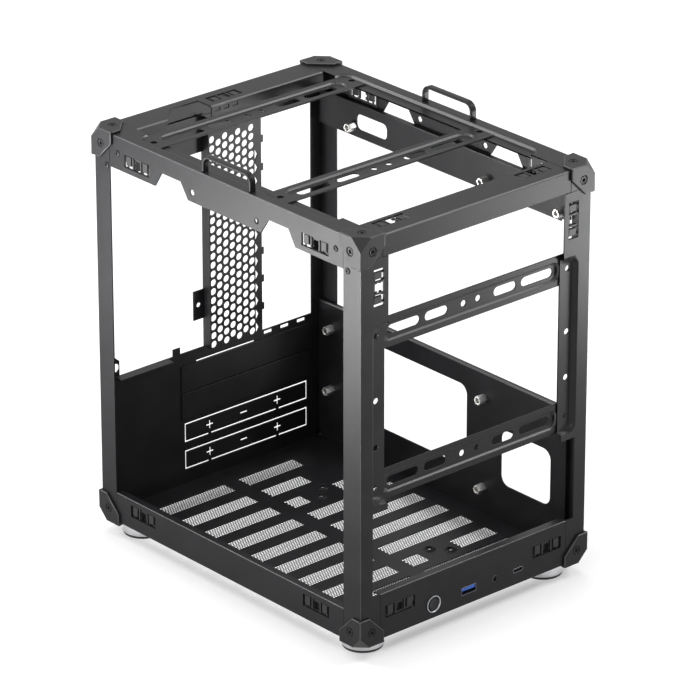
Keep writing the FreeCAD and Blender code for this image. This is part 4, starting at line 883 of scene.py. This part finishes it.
FLOOR_REACH, FLOOR_WHITE = 12, 0.8
FLOOR_GLOW, UNDER_GLOW = 0.36, 0.95
UNDER_CASE = {"X": (0.075, 0.095), "Y": (0.105, 0.125)}
SURROUND_LIGHT, SURROUND_SEEN = 0.40, 1.0
LAMPS = {  # place, aim, size in metres and power in watts
    "left_light": ((-1.9, -0.2, 1.1), (0, 0, 0.15), 1.4, 14),
    "top_light": ((0.2, 0.5, 2.2), (0, 0, 0.1), 1.8, 18),
    "left_reflector": ((-0.61, 0.29, 0.01), (-0.61, 0.29, 1.0), 0.36, 17),
    "right_reflector": ((0.57, -0.45, 0.01), (0.57, -0.45, 1.0), 0.24, 9.2),
    "edge_light_right": ((0.91, -0.60, 1.18), (0, 0, 0.15), 0.5, 7),
    "edge_light_left": ((-0.60, 1.03, 1.06), (0, 0, 0.15), 0.5, 7),
}
EYE, AIM = (-1.9823, -2.2524, 1.4712), (0.00340, -0.00522, 0.14819)
LENS, SENSOR_WIDTH, FARTHEST = 255.4, 36.0, 100.0


def ray_switch(tree):
    """One where the camera looks, directly, by reflection or through; nought for light bounced elsewhere."""
    rays = tree.nodes.new("ShaderNodeLightPath").outputs
    seen = combined(tree, "MAXIMUM", rays["Is Camera Ray"], rays["Is Glossy Ray"])
    return combined(tree, "MAXIMUM", seen, rays["Is Transmission Ray"])


def floor_finish(name):
    """Diffuse white that shows the shadow, plus a glow that only the camera's rays see: an even glow, rising
    by a smooth step in X and in Y to a stronger one under the case's middle."""
    material = bpy.data.materials.new(name)
    material.use_nodes = True
    tree = material.node_tree
    tree.nodes.clear()
    diffuse, glow = tree.nodes.new("ShaderNodeBsdfDiffuse"), tree.nodes.new("ShaderNodeEmission")
    diffuse.inputs["Color"].default_value = (FLOOR_WHITE, FLOOR_WHITE, FLOOR_WHITE, 1)
    place, parts = tree.nodes.new("ShaderNodeTexCoord"), tree.nodes.new("ShaderNodeSeparateXYZ")
    tree.links.new(place.outputs["Object"], parts.inputs[0])
    under = [spread(tree, combined(tree, "ABSOLUTE", parts.outputs[axis]), 1.0, 0.0, span, "SMOOTHSTEP")
             for axis, span in UNDER_CASE.items()]
    level = spread(tree, combined(tree, "MULTIPLY", *under), FLOOR_GLOW, UNDER_GLOW)
    tree.links.new(combined(tree, "MULTIPLY", ray_switch(tree), level), glow.inputs["Strength"])
    total, end = tree.nodes.new("ShaderNodeAddShader"), tree.nodes.new("ShaderNodeOutputMaterial")
    tree.links.new(diffuse.outputs[0], total.inputs[0])
    tree.links.new(glow.outputs[0], total.inputs[1])
    tree.links.new(total.outputs[0], end.inputs["Surface"])
    return material


def aimed(name, data, place, aim):
    """A lamp or camera at its place, looking at the aim."""
    thing = bpy.data.objects.new(name, data)
    thing.location = place
    thing.rotation_euler = (Vector(aim) - Vector(place)).to_track_quat("-Z", "Y").to_euler()
    bpy.context.scene.collection.objects.link(thing)
    return thing


floor_mesh = bpy.data.meshes.new("floor")
corners = [(x * FLOOR_REACH, y * FLOOR_REACH, 0) for x, y in ((-1, -1), (1, -1), (1, 1), (-1, 1))]
floor_mesh.from_pydata(corners, [], [(0, 1, 2, 3)])
floor_mesh.materials.append(floor_finish("pale_floor"))
floor = bpy.data.objects.new("floor", floor_mesh)
bpy.context.scene.collection.objects.link(floor)

world = bpy.data.worlds.new("surround")
bpy.context.scene.world = world
world.use_nodes = True
background = world.node_tree.nodes["Background"]
background.inputs["Color"].default_value = (1, 1, 1, 1)
brightness = spread(world.node_tree, ray_switch(world.node_tree), SURROUND_LIGHT, SURROUND_SEEN)
world.node_tree.links.new(brightness, background.inputs["Strength"])

for name, (place, aim, size, power) in LAMPS.items():
    lamp = bpy.data.lights.new(name, "AREA")
    lamp.shape, lamp.size, lamp.energy = "SQUARE", size, power
    aimed(name, lamp, place, aim)

camera = bpy.data.cameras.new("camera")
camera.lens, camera.sensor_width, camera.clip_end = LENS, SENSOR_WIDTH, FARTHEST
bpy.context.scene.camera = aimed("camera", camera, EYE, AIM)
bpy.context.scene.view_settings.view_transform = "Standard"
